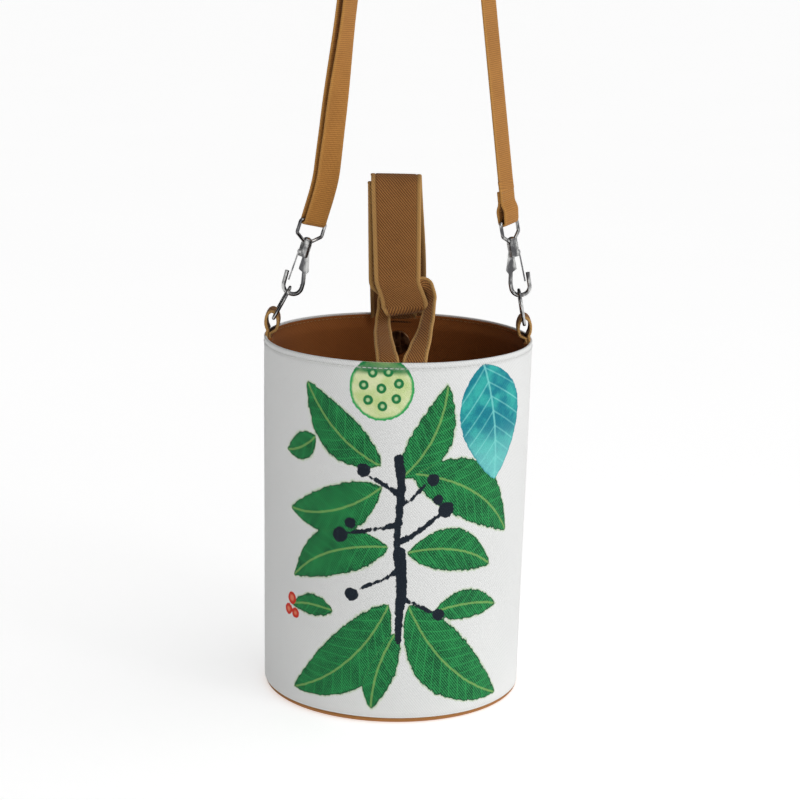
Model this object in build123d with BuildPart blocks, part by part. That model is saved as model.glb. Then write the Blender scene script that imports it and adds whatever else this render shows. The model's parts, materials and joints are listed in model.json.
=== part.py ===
import os
from math import cos, radians, sin, tan

from build123d import *

os.makedirs("parts", exist_ok=True)

# A small bucket bag: a printed canvas cylinder with a fabric carry handle, and a shoulder strap of webbing
# that clips onto two D-rings at its rim. Millimetres, +Z up, the printed front faces -Y, and the origin is
# the middle of the base, on the surface that the bag stands on.

# The bag's wall, from the outside in: canvas, stiffener and lining.
rim_radius = 75.0
hem_radius = 73.0
bag_height = 202.0
hem_height = 3.4
canvas_thickness = 0.9
stiffener_thickness = 2.0
lining_thickness = 0.6
rim_lip = 1.2
rim_rounding = 0.4
wall_gap = 0.3

# The base, from the bottom up: a dished fabric panel, a stiff board and the lining's floor.
base_thickness = 1.0
base_edge_radius = 3.2
base_seam_height = 12.0
board_thickness = 2.0
board_play = 0.8
floor_thickness = 0.6

# Straps: the handle and its tab, the ring tabs, and the shoulder webbing.
strap_width = 28.0
strap_thickness = 1.7
strap_rise = 1.0
tail_depth = 10.5
tail_side_gap = 0.3
tail_face_gap = 0.15
ring_tab_width = 15.0
ring_tab_thickness = 1.3
webbing_width = 15.0
webbing_thickness = 1.3

# The carry handle, as a hairpin of one strap whose closed end holds the bridge of the slit tab. Its places
# are given as Y and the height above the rim.
handle_x = -1.5
handle_apex_place = (-5.0, 93.6)
handle_fold_place = (-36.0, 22.0)
handle_apex_radius = 6.0
handle_ply_spacing = 4.4
slit_play = 1.0
handle_fold_height = 16.0
handle_taper_height = 6.0
lean_axis_gap = 0.35
lean_limit = 11.0

# The slit tab: two legs that spread from the front rim to a bridge between the handle's plies.
tab_x = 2.0
tab_slit_start = 11.0
tab_slit_width = 27.0
tab_slit_square = 14.0
tab_head_width = 34.0
tab_waist_width = 25.6
bridge_above_fold = 9.0
bridge_height = 8.0

# Magnetic snap on the lining, below the rim at the front and the back.
snap_radius = 7.0
snap_thickness = 2.2
snap_nub_radius = 2.6
snap_nub_height = 1.4
snap_stem_radius = 1.6
snap_washer_radius = 6.0
snap_washer_thickness = 0.6
snap_drop = 17.5

# D-rings: a straight bar in the tab, two sides and a half-round bow.
ring_wire = 2.0
ring_side_play = 0.4
ring_side = 9.3
ring_corner = 1.4
tab_loop_half_width = 4.05
tab_loop_half_height = 6.65
tab_loop_drop = 2.5
tab_loop_inset = 4.7

# Swivel snap hooks, in each hook's own plane: outward is towards the gate, up is towards the webbing.
hook_wire = 2.4
hook_length = 25.6
hook_bend_drop = 5.0
hook_bend_radius = 4.7
hook_spine_foot = -4.8
hook_arm_foot = 5.3
hook_arm_top = (5.7, -18.6)
barrel_radius = 3.1
barrel_length = 7.2
collar_radius = 3.0
collar_height = 2.2
swivel_gap = 0.1
post_radius = 1.3
post_play = 0.05
post_depth = 2.6
post_head_radius = 2.2
post_head_height = 1.3
plate_thickness = 2.6
gate_pin = (2.2, -6.2)
gate_pin_radius = 0.65
gate_pin_length = 4.6
gate_pin_play = 0.05
gate_knuckle_radius = 1.45
gate_width = 2.6
gate_thickness = 0.9
gate_tip = (3.4, -23.2)
gate_side_play = 0.2
ring_play = 0.5

# The wire eye of each hook, which the webbing wraps.
eye_wire = 2.0
eye_side_play = 0.3
eye_height = 12.0
eye_elbow = 4.2
eye_foot = 2.2
eye_corner = 1.6
webbing_play = 0.3

# Each side's own places: how far the ring's bar stands inside the rim's edge and above the rim, how far the
# ring and the hook lean towards the middle, and where in the hook's bend the ring's bow pulls, outward and
# down.
sides = {
    "left": {"out": -1, "bar": (5.8, 10.0), "ring_lean": 28.0, "hook_lean": 16.7, "pull": (0.8, 0.6)},
    "right": {"out": 1, "bar": (5.0, 9.4), "ring_lean": 10.4, "hook_lean": 11.5, "pull": (-0.2, 0.98)},
}

# The shoulder webbing: points on its way up, as X and Z from its eye's bar, and how far its width has turned
# there about the vertical, from facing the front. Heights without a turn are above the rim.
eye_turn = {"left": 38.0, "right": 57.0}
left_run = [((7.21, 29.54), 38.0), ((10.01, 55.54), 43.0), ((14.71, 99.54), 62.0)]
right_run = [((-2.28, 22.10), 57.0), ((-14.58, 119.20), 58.0)]
strap_turn = 62.0
arch_start = 226.0
arch_steps = 12
wrap_steps = 6
end_bulge = 2.3
end_merge = 0.72
end_stitch = 11.0
end_length = 17.0

# The slider that the left webbing runs through and ends on.
slider_rise = 210.0
slider_wire = 2.0
slider_frame_height = 12.0
slider_travel = 18.0
slider_play = 0.25
slider_side = 2.0
slider_tail = 26.0
slider_end_gap = 0.6
slider_tail_gap = 0.6


wall_slope = (rim_radius - hem_radius) / (bag_height - hem_height)


def wall_radius(z):
    return hem_radius + wall_slope * (z - hem_height)


def wall_shell(inset, thickness, low, high):
    # A shell that follows the wall's cone, from inset below the outer surface to inset plus thickness.
    with BuildPart() as shell:
        with BuildSketch(Plane.XZ):
            with BuildLine():
                Polyline(
                    (wall_radius(low) - inset, low),
                    (wall_radius(high) - inset, high),
                    (wall_radius(high) - inset - thickness, high),
                    (wall_radius(low) - inset - thickness, low),
                    close=True,
                )
            make_face()
        revolve(axis=Axis.Z)
    return shell.part


def save(piece, name):
    piece.part.label = name
    export_step(piece.part, f"parts/{name}.step")


core_inset = canvas_thickness
lining_inset = canvas_thickness + stiffener_thickness
wall_thickness = lining_inset + lining_thickness
tail_low = bag_height - tail_depth
tail_high = bag_height + strap_rise
tail_inset = core_inset + tail_face_gap
tail_thickness = stiffener_thickness - 2 * tail_face_gap
handle_reach = rim_radius - core_inset - stiffener_thickness / 2
ring_half_width = ring_tab_width / 2 + ring_side_play + ring_wire / 2
eye_half_width = webbing_width / 2 + eye_side_play + eye_wire / 2
ring_to_bend = hook_bend_drop - hook_wire / 2 - ring_wire / 2 - ring_play
handle_apex = (handle_apex_place[0], bag_height + handle_apex_place[1])
handle_fold = (handle_fold_place[0], bag_height + handle_fold_place[1])
tab_loop_x = rim_radius - tab_loop_inset
snap_height = bag_height - snap_drop
slider_height = bag_height + slider_rise
stiffener_top = bag_height - canvas_thickness
lining_top = bag_height - rim_lip - wall_gap
floor_low = base_thickness + board_thickness
floor_radius = wall_radius(floor_low) - lining_inset
snap_face = wall_radius(snap_height) - wall_thickness - 2 * wall_gap
washer_face = wall_radius(snap_height) - lining_inset

# Where each strap goes down into the wall: its middle, its width, and the side of the bag.
seams = {
    "back": ((handle_x, rim_radius), (strap_width, rim_radius)),
    "front": ((tab_x, -rim_radius), (strap_width, rim_radius)),
    "left": ((-rim_radius, 0), (rim_radius, ring_tab_width)),
    "right": ((rim_radius, 0), (rim_radius, ring_tab_width)),
}


def seam_block(side, clearance, low, high):
    # The upright block of space that a strap's sewn end takes up at one side of the rim.
    (x, y), (size_x, size_y) = seams[side]
    with BuildPart() as block:
        with BuildSketch(Plane.XY.offset(low)):
            with Locations((x, y)):
                if side in ("front", "back"):
                    Rectangle(size_x + 2 * clearance, size_y)
                else:
                    Rectangle(size_x, size_y + 2 * clearance)
        extrude(amount=high - low)
    return block.part


def seam_pocket():
    # All four pockets that the sewn ends need between the canvas and the lining.
    with BuildPart() as pocket:
        for side in seams:
            add(seam_block(side, tail_side_gap, tail_low - wall_gap, bag_height + rim_lip))
        add(
            wall_shell(core_inset, stiffener_thickness, tail_low - wall_gap, bag_height + rim_lip),
            mode=Mode.INTERSECT,
        )
    return pocket.part


# Outer canvas: the wall, turned in over the stiffener at the rim.
with BuildPart() as outer_canvas:
    with BuildSketch(Plane.XZ) as canvas_profile:
        with BuildLine():
            Polyline(
                (hem_radius, hem_height),
                (rim_radius, bag_height),
                (rim_radius - wall_thickness, bag_height),
                (wall_radius(bag_height - rim_lip) - wall_thickness, bag_height - rim_lip),
                (wall_radius(bag_height - rim_lip) - lining_inset, bag_height - rim_lip),
                (wall_radius(stiffener_top) - lining_inset, stiffener_top),
                (wall_radius(stiffener_top) - canvas_thickness, stiffener_top),
                (hem_radius - canvas_thickness, hem_height),
                close=True,
            )
        make_face()
        fillet(canvas_profile.vertices().group_by(Axis.Y)[-1], rim_rounding)
    revolve(axis=Axis.Z)
    add(seam_pocket(), mode=Mode.SUBTRACT)
save(outer_canvas, "outer_canvas")

# Stiffener: a foam sleeve between canvas and lining, above the base seam and notched for the straps.
with BuildPart() as wall_stiffener:
    add(
        wall_shell(
            core_inset,
            stiffener_thickness,
            base_seam_height + wall_gap,
            stiffener_top,
        )
    )
    add(seam_pocket(), mode=Mode.SUBTRACT)
    # Recesses for the snap's washers, from the inner side.
    with Locations(Location((0, 0, snap_height), (90, 0, 0))):
        Cylinder(
            snap_washer_radius + wall_gap,
            2 * (washer_face + snap_washer_thickness + 2 * wall_gap),
            mode=Mode.SUBTRACT,
        )
save(wall_stiffener, "wall_stiffener")

# Snap stems pass through the lining, so its holes are drilled from the same sizes.
with BuildPart() as lining_wall:
    add(wall_shell(lining_inset, lining_thickness, floor_low + floor_thickness, lining_top))
    with Locations(Location((0, 0, snap_height), (90, 0, 0))):
        Cylinder(snap_stem_radius + wall_gap, 2 * rim_radius, mode=Mode.SUBTRACT)
save(lining_wall, "lining_wall")

with BuildPart() as lining_floor:
    with BuildSketch(Plane.XY.offset(floor_low)):
        Circle(floor_radius)
    extrude(amount=floor_thickness)
save(lining_floor, "lining_floor")

# Base board: the stiff disc between the base panel and the lining's floor.
with BuildPart() as base_board:
    with BuildSketch(Plane.XY.offset(base_thickness)):
        Circle(hem_radius - canvas_thickness - base_thickness - board_play)
    extrude(amount=board_thickness)
save(base_board, "base_board")

# Base panel: a dished disc whose seam allowance stands up inside the canvas.
base_outer = hem_radius - canvas_thickness
with BuildPart() as base_panel:
    with BuildSketch(Plane.XZ):
        with BuildLine():
            Polyline((0, base_thickness), (0, 0), (hem_radius - base_edge_radius, 0))
            TangentArc(
                (hem_radius - base_edge_radius, 0),
                (hem_radius - wall_gap, hem_height - wall_gap),
                tangent=(1, 0),
            )
            Polyline(
                (hem_radius - wall_gap, hem_height - wall_gap),
                (base_outer, hem_height - wall_gap),
                (base_outer, hem_height),
                (wall_radius(base_seam_height) - canvas_thickness, base_seam_height),
                (wall_radius(base_seam_height) - canvas_thickness - base_thickness, base_seam_height),
                (base_outer - base_thickness, base_thickness),
                (0, base_thickness),
            )
        make_face()
    revolve(axis=Axis.Z)
save(base_panel, "base_panel")


def sewn_end(side, rise):
    # The end of a strap that is sewn into the wall, curved as the wall is.
    with BuildPart() as tail:
        add(seam_block(side, 0, tail_low, bag_height + rise))
        add(
            wall_shell(tail_inset, tail_thickness, tail_low, bag_height + rise),
            mode=Mode.INTERSECT,
        )
    return tail


save(sewn_end("back", strap_rise), "handle_sewn_end")
save(sewn_end("front", strap_rise), "tab_sewn_end")


def lean_wedge():
    # What is cut from a strap's lower end, so that it can lean sideways above its sewn end.
    reach = 2 * strap_width
    low = tail_high + lean_axis_gap
    with BuildPart() as wedge:
        with BuildSketch(Plane.XZ):
            with BuildLine():
                Polyline(
                    (0, low),
                    (reach, low + reach * tan(radians(lean_limit))),
                    (reach, low - reach),
                    (-reach, low - reach),
                    (-reach, low + reach * tan(radians(lean_limit))),
                    close=True,
                )
            make_face()
        extrude(amount=2 * rim_radius, both=True)
    return wedge.part


# Carry handle: its outer ply rises from the back rim, folds over at the top, comes down at the front, turns
# under the tab's bridge and goes back inside the outer ply, all as one strap.
ply_outer = handle_ply_spacing + strap_thickness
ply_inner = handle_ply_spacing - strap_thickness
with BuildLine(mode=Mode.PRIVATE) as handle_line:
    FilletPolyline(
        (handle_reach - handle_ply_spacing / 2, tail_high - strap_rise),
        handle_apex,
        handle_fold,
        radius=handle_apex_radius,
    )
with BuildPart() as carry_handle:
    with BuildSketch(Plane.YZ.offset(handle_x - strap_width / 2)):
        trace(handle_line.line, line_width=ply_outer)
        with Locations(handle_fold):
            Circle(ply_outer / 2)
        trace(handle_line.line, line_width=ply_inner, mode=Mode.SUBTRACT)
        with Locations(handle_fold):
            Circle(ply_inner / 2, mode=Mode.SUBTRACT)
    extrude(amount=strap_width)
    # The closed end goes between the tab's legs, so it is cut back where it would reach them.
    notch_low = handle_fold[1] - strap_width
    notch_high = handle_fold[1] + handle_fold_height
    for way in (-1, 1):
        notch_x = tab_x + way * (tab_slit_width / 2 - slit_play)
        with BuildSketch(Plane.XZ.offset(-handle_fold[0] - strap_width)):
            with BuildLine():
                Polyline(
                    (notch_x, notch_low),
                    (notch_x, notch_high),
                    (notch_x + way * handle_taper_height, notch_high + handle_taper_height),
                    (notch_x + way * strap_width, notch_high + handle_taper_height),
                    (notch_x + way * strap_width, notch_low),
                    close=True,
                )
            make_face()
        extrude(amount=2 * strap_width, mode=Mode.SUBTRACT)
    add(lean_wedge(), mode=Mode.SUBTRACT)
save(carry_handle, "carry_handle")

# Slit tab: its legs rise from the front rim on both sides of the handle's closed end, and its bridge lies
# between the handle's plies, in line with them.
ply_up = Vector(handle_apex[0] - handle_fold[0], handle_apex[1] - handle_fold[1]).normalized()
bridge_middle = Vector(*handle_fold) + ply_up * bridge_above_fold
tab_foot = Vector(-handle_reach, tail_high)
tab_reach = bridge_middle - tab_foot
tab_length = tab_reach.length
tab_up = tab_reach.normalized()
tab_plane = Plane(
    origin=(tab_x, tab_foot.X, tab_foot.Y), x_dir=(1, 0, 0), z_dir=(0, -tab_up.Y, tab_up.X)
)
bridge_plane = Plane(
    origin=(tab_x, bridge_middle.X, bridge_middle.Y), x_dir=(1, 0, 0), z_dir=(0, -ply_up.Y, ply_up.X)
)
with BuildPart() as slit_tab:
    with BuildSketch(tab_plane):
        with BuildLine():
            Polyline(
                (-strap_width / 2, -strap_thickness),
                (strap_width / 2, -strap_thickness),
                (tab_waist_width / 2, tab_slit_start),
                (tab_head_width / 2, tab_length - tab_slit_square),
                (tab_head_width / 2, tab_length),
                (tab_slit_width / 2, tab_length),
                (tab_slit_width / 2, tab_length - tab_slit_square),
                (0, tab_slit_start),
                (-tab_slit_width / 2, tab_length - tab_slit_square),
                (-tab_slit_width / 2, tab_length),
                (-tab_head_width / 2, tab_length),
                (-tab_head_width / 2, tab_length - tab_slit_square),
                (-tab_waist_width / 2, tab_slit_start),
                close=True,
            )
        make_face()
    extrude(amount=strap_thickness / 2, both=True)
    with BuildSketch(bridge_plane):
        Rectangle(tab_head_width, bridge_height)
    extrude(amount=strap_thickness / 2, both=True)
    add(lean_wedge(), mode=Mode.SUBTRACT)
save(slit_tab, "slit_tab")

# Magnetic snap: the front half has a nub, the back half has its socket, and both have a washer between the
# lining and the stiffener.
for side, facing in (("front", 1), ("back", -1)):
    snap_plane = Plane(origin=(0, -facing * snap_face, snap_height), z_dir=(0, facing, wall_slope))
    with BuildPart() as snap_half:
        with BuildSketch(snap_plane):
            Circle(snap_radius)
        extrude(amount=snap_thickness)
        fillet(snap_half.edges().group_by(Axis.Y)[-1 if facing > 0 else 0], rim_rounding)
        with BuildSketch(snap_plane.offset(snap_thickness)):
            Circle(snap_nub_radius)
        if side == "front":
            extrude(amount=snap_nub_height)
        else:
            extrude(amount=-snap_nub_height, mode=Mode.SUBTRACT)
        with BuildSketch(snap_plane):
            Circle(snap_stem_radius)
        extrude(amount=-(washer_face - snap_face + wall_gap / 2 + snap_washer_thickness))
    save(snap_half, f"snap_{side}")
    washer_plane = Plane(origin=(0, -facing * (washer_face + wall_gap / 2), snap_height), z_dir=(0, -facing, -wall_slope))
    with BuildPart() as snap_washer:
        with BuildSketch(washer_plane):
            Circle(snap_washer_radius)
            Circle(snap_stem_radius, mode=Mode.SUBTRACT)
        extrude(amount=snap_washer_thickness)
    save(snap_washer, f"snap_washer_{side}")


def ring_bar(side):
    inset, rise = sides[side]["bar"]
    return Vector(sides[side]["out"] * (rim_radius - inset), 0, bag_height + rise)


def ring_tab(side):
    # A ring tab: the sewn end in the wall and the loop above it that holds the D-ring's bar.
    out = sides[side]["out"]
    bar_z = ring_bar(side).Z
    with BuildPart() as tab:
        add(sewn_end(side, bar_z - tab_loop_drop - bag_height).part)
        with BuildSketch(Plane.XZ.offset(-ring_tab_width / 2)):
            with Locations((out * tab_loop_x, bar_z - tab_loop_drop)):
                Ellipse(tab_loop_half_width, tab_loop_half_height)
                Ellipse(
                    tab_loop_half_width - ring_tab_thickness,
                    tab_loop_half_height - ring_tab_thickness,
                    mode=Mode.SUBTRACT,
                )
        extrude(amount=ring_tab_width)
    return tab


def lean_vectors(side, lean):
    # Up and outward, in the XZ plane, for a piece that leans towards the middle of the bag.
    out = sides[side]["out"]
    up = Vector(-out * sin(radians(lean)), 0, cos(radians(lean)))
    outward = Vector(out * cos(radians(lean)), 0, sin(radians(lean)))
    return up, outward


def ring_bow_top(side):
    up, outward = lean_vectors(side, sides[side]["ring_lean"])
    return ring_bar(side) + up * (ring_side + ring_half_width)


def d_ring(side):
    up, outward = lean_vectors(side, sides[side]["ring_lean"])
    ring_plane = Plane(origin=ring_bar(side), x_dir=(0, 1, 0), z_dir=Vector(0, 1, 0).cross(up))
    with BuildPart() as ring:
        with BuildLine(ring_plane) as ring_line:
            FilletPolyline(
                (-ring_half_width, ring_side),
                (-ring_half_width, 0),
                (ring_half_width, 0),
                (ring_half_width, ring_side),
                radius=ring_corner,
            )
            ThreePointArc(
                (ring_half_width, ring_side),
                (0, ring_side + ring_half_width),
                (-ring_half_width, ring_side),
            )
        ring_wire_line = ring_line.wire()
        with BuildSketch(Plane(origin=ring_wire_line @ 0, z_dir=ring_wire_line % 0)):
            Circle(ring_wire / 2)
        sweep(path=ring_wire_line)
    return ring


def hook_frame(side):
    # The hook's collar centre, its up direction and its plane, whose x is outward and whose y is up.
    up, outward = lean_vectors(side, sides[side]["hook_lean"])
    pull_out, pull_down = sides[side]["pull"]
    bow = ring_bow_top(side)
    bend = bow - Vector(sides[side]["out"] * pull_out, 0, -pull_down) * ring_to_bend
    collar = bend + up * hook_length
    return collar, up, Plane(origin=collar, x_dir=outward, z_dir=outward.cross(up))


barrel_top = -(collar_height / 2 + swivel_gap)
gate_slot = gate_width / 2 + gate_side_play


def hook_body(side):
    collar, up, plane = hook_frame(side)
    axis = Axis(collar, up)
    barrel_low = barrel_top - barrel_length
    with BuildPart() as body:
        with BuildSketch(plane):
            with BuildLine():
                Polyline(
                    (0, barrel_top),
                    (barrel_radius, barrel_top),
                    (barrel_radius, barrel_low),
                    (0, barrel_low),
                    close=True,
                )
            make_face()
        revolve(axis=axis)
        with BuildSketch(plane):
            with BuildLine():
                Polyline(
                    (-barrel_radius + rim_rounding, barrel_top - barrel_radius),
                    (0, barrel_top - barrel_radius),
                    (0, barrel_low),
                    (hook_spine_foot + 2 * hook_wire, barrel_low - 3 * hook_wire),
                    (hook_spine_foot, barrel_low - 4 * hook_wire),
                    (hook_spine_foot - hook_wire / 2, barrel_low - 3 * hook_wire),
                    close=True,
                )
            make_face()
        extrude(amount=plate_thickness / 2, both=True)
        with BuildSketch(plane):
            with BuildLine():
                Polyline(
                    (gate_pin[0] - gate_knuckle_radius - wall_gap, gate_pin[1] + gate_knuckle_radius + wall_gap),
                    (2 * barrel_radius, gate_pin[1] + gate_knuckle_radius + wall_gap),
                    (2 * barrel_radius, barrel_low - hook_wire),
                    (gate_pin[0] - gate_knuckle_radius - wall_gap, barrel_low - hook_wire),
                    close=True,
                )
            make_face()
        extrude(amount=gate_slot, both=True, mode=Mode.SUBTRACT)
        with BuildSketch(plane):
            with Locations(gate_pin):
                Circle(gate_pin_radius)
        extrude(amount=barrel_radius, both=True, mode=Mode.SUBTRACT)
        with BuildSketch(Plane(origin=collar + up * barrel_top, z_dir=up)):
            Circle(post_radius)
        extrude(amount=-post_depth, mode=Mode.SUBTRACT)
        with BuildLine(plane) as wire_line:
            FilletPolyline(
                (-gate_knuckle_radius, gate_pin[1]),
                (hook_spine_foot, -hook_length + hook_bend_drop - hook_wire),
                (hook_spine_foot, -hook_length - hook_bend_drop),
                (hook_arm_foot, -hook_length - hook_bend_drop),
                hook_arm_top,
                radius=[2 * hook_bend_radius, hook_bend_radius, hook_bend_radius],
            )
        bend_line = wire_line.wire()
        with BuildSketch(Plane(origin=bend_line @ 0, z_dir=bend_line % 0)):
            Circle(hook_wire / 2)
        sweep(path=bend_line)
    return body


def swivel_post(side):
    collar, up, plane = hook_frame(side)
    head_low = collar_height / 2 + swivel_gap
    with BuildPart() as post:
        with BuildSketch(plane):
            with BuildLine():
                Polyline(
                    (0, barrel_top - post_depth),
                    (post_radius, barrel_top - post_depth),
                    (post_radius, head_low),
                    (post_head_radius, head_low),
                    (post_head_radius, head_low + post_head_height / 2),
                    (post_head_radius / 2, head_low + post_head_height),
                    (0, head_low + post_head_height),
                    close=True,
                )
            make_face()
        revolve(axis=Axis(collar, up))
    return post


def gate(side):
    collar, up, plane = hook_frame(side)
    with BuildLine(mode=Mode.PRIVATE) as lever_line:
        Line((gate_pin[0] + gate_pin_radius, gate_pin[1]), gate_tip)
    with BuildPart() as lever:
        with BuildSketch(plane):
            with Locations(gate_pin):
                Circle(gate_knuckle_radius)
            trace(lever_line.line, line_width=gate_thickness)
            with Locations(gate_pin):
                Circle(gate_pin_radius + gate_pin_play, mode=Mode.SUBTRACT)
        extrude(amount=gate_width / 2, both=True)
    return lever


def gate_rivet(side):
    collar, up, plane = hook_frame(side)
    with BuildPart() as rivet:
        with BuildSketch(plane):
            with Locations(gate_pin):
                Circle(gate_pin_radius)
        extrude(amount=gate_pin_length / 2, both=True)
    return rivet


def eye_frame(side):
    # The eye's plane through its collar: x runs along its bar, y is the hook's up direction.
    collar, up, plane = hook_frame(side)
    turn = radians(eye_turn[side])
    bar = Vector(cos(turn), sin(turn), 0)
    bar = (bar - up * bar.dot(up)).normalized()
    return collar, up, bar


def hook_eye(side):
    collar, up, bar = eye_frame(side)
    plane = Plane(origin=collar, x_dir=bar, z_dir=bar.cross(up))
    with BuildPart() as eye:
        with BuildLine(plane) as eye_line:
            FilletPolyline(
                (eye_foot, 0),
                (eye_half_width, eye_elbow),
                (eye_half_width, eye_height),
                (-eye_half_width, eye_height),
                (-eye_half_width, eye_elbow),
                (-eye_foot, 0),
                radius=eye_corner,
                close=True,
            )
        eye_path = eye_line.wire()
        with BuildSketch(Plane(origin=eye_path @ 0, z_dir=eye_path % 0)):
            Circle(eye_wire / 2)
        sweep(path=eye_path)
        with BuildSketch(Plane(origin=collar - up * collar_height / 2, z_dir=up)):
            Circle(collar_radius)
        extrude(amount=collar_height)
        with BuildSketch(Plane(origin=collar - up * collar_height, z_dir=up)):
            Circle(post_radius + post_play)
        extrude(amount=2 * collar_height, mode=Mode.SUBTRACT)
    return eye


for side in sides:
    save(ring_tab(side), f"ring_tab_{side}")
    save(d_ring(side), f"d_ring_{side}")
    save(hook_body(side), f"hook_body_{side}")
    save(swivel_post(side), f"swivel_post_{side}")
    save(gate(side), f"gate_{side}")
    save(gate_rivet(side), f"gate_rivet_{side}")
    save(hook_eye(side), f"hook_eye_{side}")

# Shoulder webbing: one strip, laid out as a row of cross-sections. It starts with its sewn end behind the
# right hook's eye, wraps the eye, rises, arches over, comes down on the left, wraps the left hook's eye and
# rises again behind itself to the slider.
wrap_radius = eye_wire / 2 + webbing_play + webbing_thickness / 2


def section(point, tangent, turn):
    # One cross-section: its place, its way along the strip and its width direction.
    tangent = Vector(tangent).normalized()
    width = Vector(cos(radians(turn)), sin(radians(turn)), 0)
    width = (width - tangent * width.dot(tangent)).normalized()
    return Vector(point), tangent, width


def run_point(side, place):
    collar, up, bar = eye_frame(side)
    return collar + up * eye_height + Vector(place[0], 0, place[1])


def eye_wrap(side, towards):
    # The bar's middle, the strap's way up from it, its width direction and the way that its lit face looks.
    collar, up, bar = eye_frame(side)
    middle = collar + up * eye_height
    rise = towards - middle
    rise = (rise - bar * rise.dot(bar)).normalized()
    return middle, rise, bar, bar.cross(rise)


sections = []
middle, rise, bar, face = eye_wrap("right", run_point("right", right_run[0][0]))
for along, away in ((end_length, end_merge), (end_stitch, end_merge), (end_stitch / 2, end_bulge)):
    sections.append((middle + rise * along - face * away, rise * -1, bar))
for step in range(wrap_steps + 1):
    angle = radians(180 - 180 * step / wrap_steps)
    point = middle + (face * cos(angle) - rise * sin(angle)) * wrap_radius
    sections.append((point, face * sin(angle) + rise * cos(angle), bar))
for along, away in ((end_stitch / 2, end_bulge), (end_stitch, end_merge), (end_length, end_merge)):
    sections.append((middle + rise * along + face * away, rise, bar))
right_low, right_high = (run_point("right", place) for place, turn in right_run)
right_way = (right_high - right_low).normalized()
sections.append(section(right_low, right_way, right_run[0][1]))
sections.append(section(right_high, right_way, right_run[1][1]))

left_points = [run_point("left", place) for place, turn in left_run]
left_high = left_points[-1]
left_way = (left_high - left_points[-2]).normalized()


def on_line(start, way, height):
    return start + way * ((height - start.Z) / way.Z)


def left_face(way, turn):
    width = Vector(cos(radians(turn)), sin(radians(turn)), 0)
    width = (width - way * width.dot(way)).normalized()
    return width.cross(way)


running_offset = left_face(left_way, strap_turn) * wrap_radius
arch_left = on_line(left_high, left_way, bag_height + arch_start) + running_offset
arch_right = on_line(right_high, right_way, bag_height + arch_start)
arch_middle = (arch_left + arch_right) / 2
arch_radius = (arch_right - arch_left).X / 2
sections.append(section(arch_right, (0, 0, 1), strap_turn))
for step in range(1, arch_steps):
    share = step / arch_steps
    angle = radians(180 * share)
    twist = strap_turn + (90 - strap_turn) * min(1, 4 * share, 4 * (1 - share))
    point = Vector(
        arch_middle.X + arch_radius * cos(angle),
        arch_right.Y + (arch_left.Y - arch_right.Y) * share,
        arch_middle.Z + arch_radius * sin(angle),
    )
    sections.append(section(point, (-sin(angle), 0, cos(angle)), twist))
sections.append(section(arch_left, (0, 0, -1), strap_turn))

down_sections = []
slider_low = slider_height - slider_travel - slider_frame_height
for height, turn in ((slider_height + slider_frame_height, strap_turn), (slider_low, strap_turn)):
    point = on_line(left_high, left_way, height)
    down_sections.append((point, left_way, turn))
for index in (1, 0):
    down_sections.append((left_points[index], left_way, left_run[index][1]))
for point, way, turn in down_sections:
    offset_point = point + left_face(way, turn) * wrap_radius
    sections.append(section(offset_point, way * -1, turn))
middle, rise, bar, face = eye_wrap("left", run_point("left", left_run[0][0]))
for step in range(wrap_steps + 1):
    angle = radians(180 * step / wrap_steps)
    point = middle + (face * cos(angle) - rise * sin(angle)) * wrap_radius
    sections.append((point, face * -sin(angle) - rise * cos(angle), bar))
for point, way, turn in reversed(down_sections[1:]):
    sections.append(section(point - left_face(way, turn) * wrap_radius, way, turn))
slider_point = on_line(left_high, left_way, slider_height)
end_drop = slider_travel + slider_wire / 2 + slider_play + webbing_thickness + slider_end_gap
back_end = slider_point - left_way * end_drop - running_offset
sections.append(section(back_end, left_way, strap_turn))

with BuildPart() as shoulder_webbing:
    for point, tangent, width in sections:
        with BuildSketch(Plane(origin=point, x_dir=width, z_dir=tangent)):
            Rectangle(webbing_width, webbing_thickness)
    loft(ruled=True)
save(shoulder_webbing, "shoulder_webbing")

# Slider: two rails in front of the running webbing and a bar behind it, joined by side plates. Its frame's
# x runs along the bar, y away from the strap's lit face, and z up the strap.
_, _, slider_width_way = section(slider_point, left_way, strap_turn)
slider_plane = Plane(origin=slider_point + running_offset, x_dir=slider_width_way, z_dir=left_way)
rail_y = -(webbing_thickness / 2 + slider_play + slider_wire / 2)
bar_y = webbing_thickness * 1.5 + 2 * slider_play + slider_wire / 2
slider_half = webbing_width / 2 + 2 * slider_play + slider_side / 2
with BuildPart(slider_plane) as strap_slider:
    with Locations((-slider_half, (rail_y + bar_y) / 2, 0), (slider_half, (rail_y + bar_y) / 2, 0)):
        Box(slider_side, bar_y - rail_y + slider_wire, slider_frame_height)
    fillet(strap_slider.edges(), rim_rounding)
    rail_z = (slider_frame_height - slider_wire) / 2
    with Locations((0, rail_y, rail_z), (0, rail_y, -rail_z), (0, bar_y, 0)):
        Cylinder(slider_wire / 2 - slider_play / 4, 2 * slider_half, rotation=(0, 90, 0))
save(strap_slider, "strap_slider")

# The webbing's other end, sewn round the slider's bar, with a tail that lies behind the back ply.
sewn_radius = slider_wire / 2 + slider_play
tail_y = 2 * wrap_radius + webbing_thickness + slider_tail_gap
with BuildPart() as webbing_sewn_end:
    with BuildSketch(
        Plane(
            origin=slider_plane.origin - slider_width_way * webbing_width / 2,
            x_dir=slider_plane.y_dir,
            z_dir=slider_width_way,
        )
    ):
        with Locations((bar_y, 0)):
            Circle(sewn_radius + webbing_thickness)
            Circle(sewn_radius, mode=Mode.SUBTRACT)
        with Locations((tail_y, -slider_tail / 2)):
            Rectangle(webbing_thickness, slider_tail)
    extrude(amount=webbing_width)
save(webbing_sewn_end, "webbing_sewn_end")
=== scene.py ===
import json
from math import ceil, cos, hypot, pi, radians, sin

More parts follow.
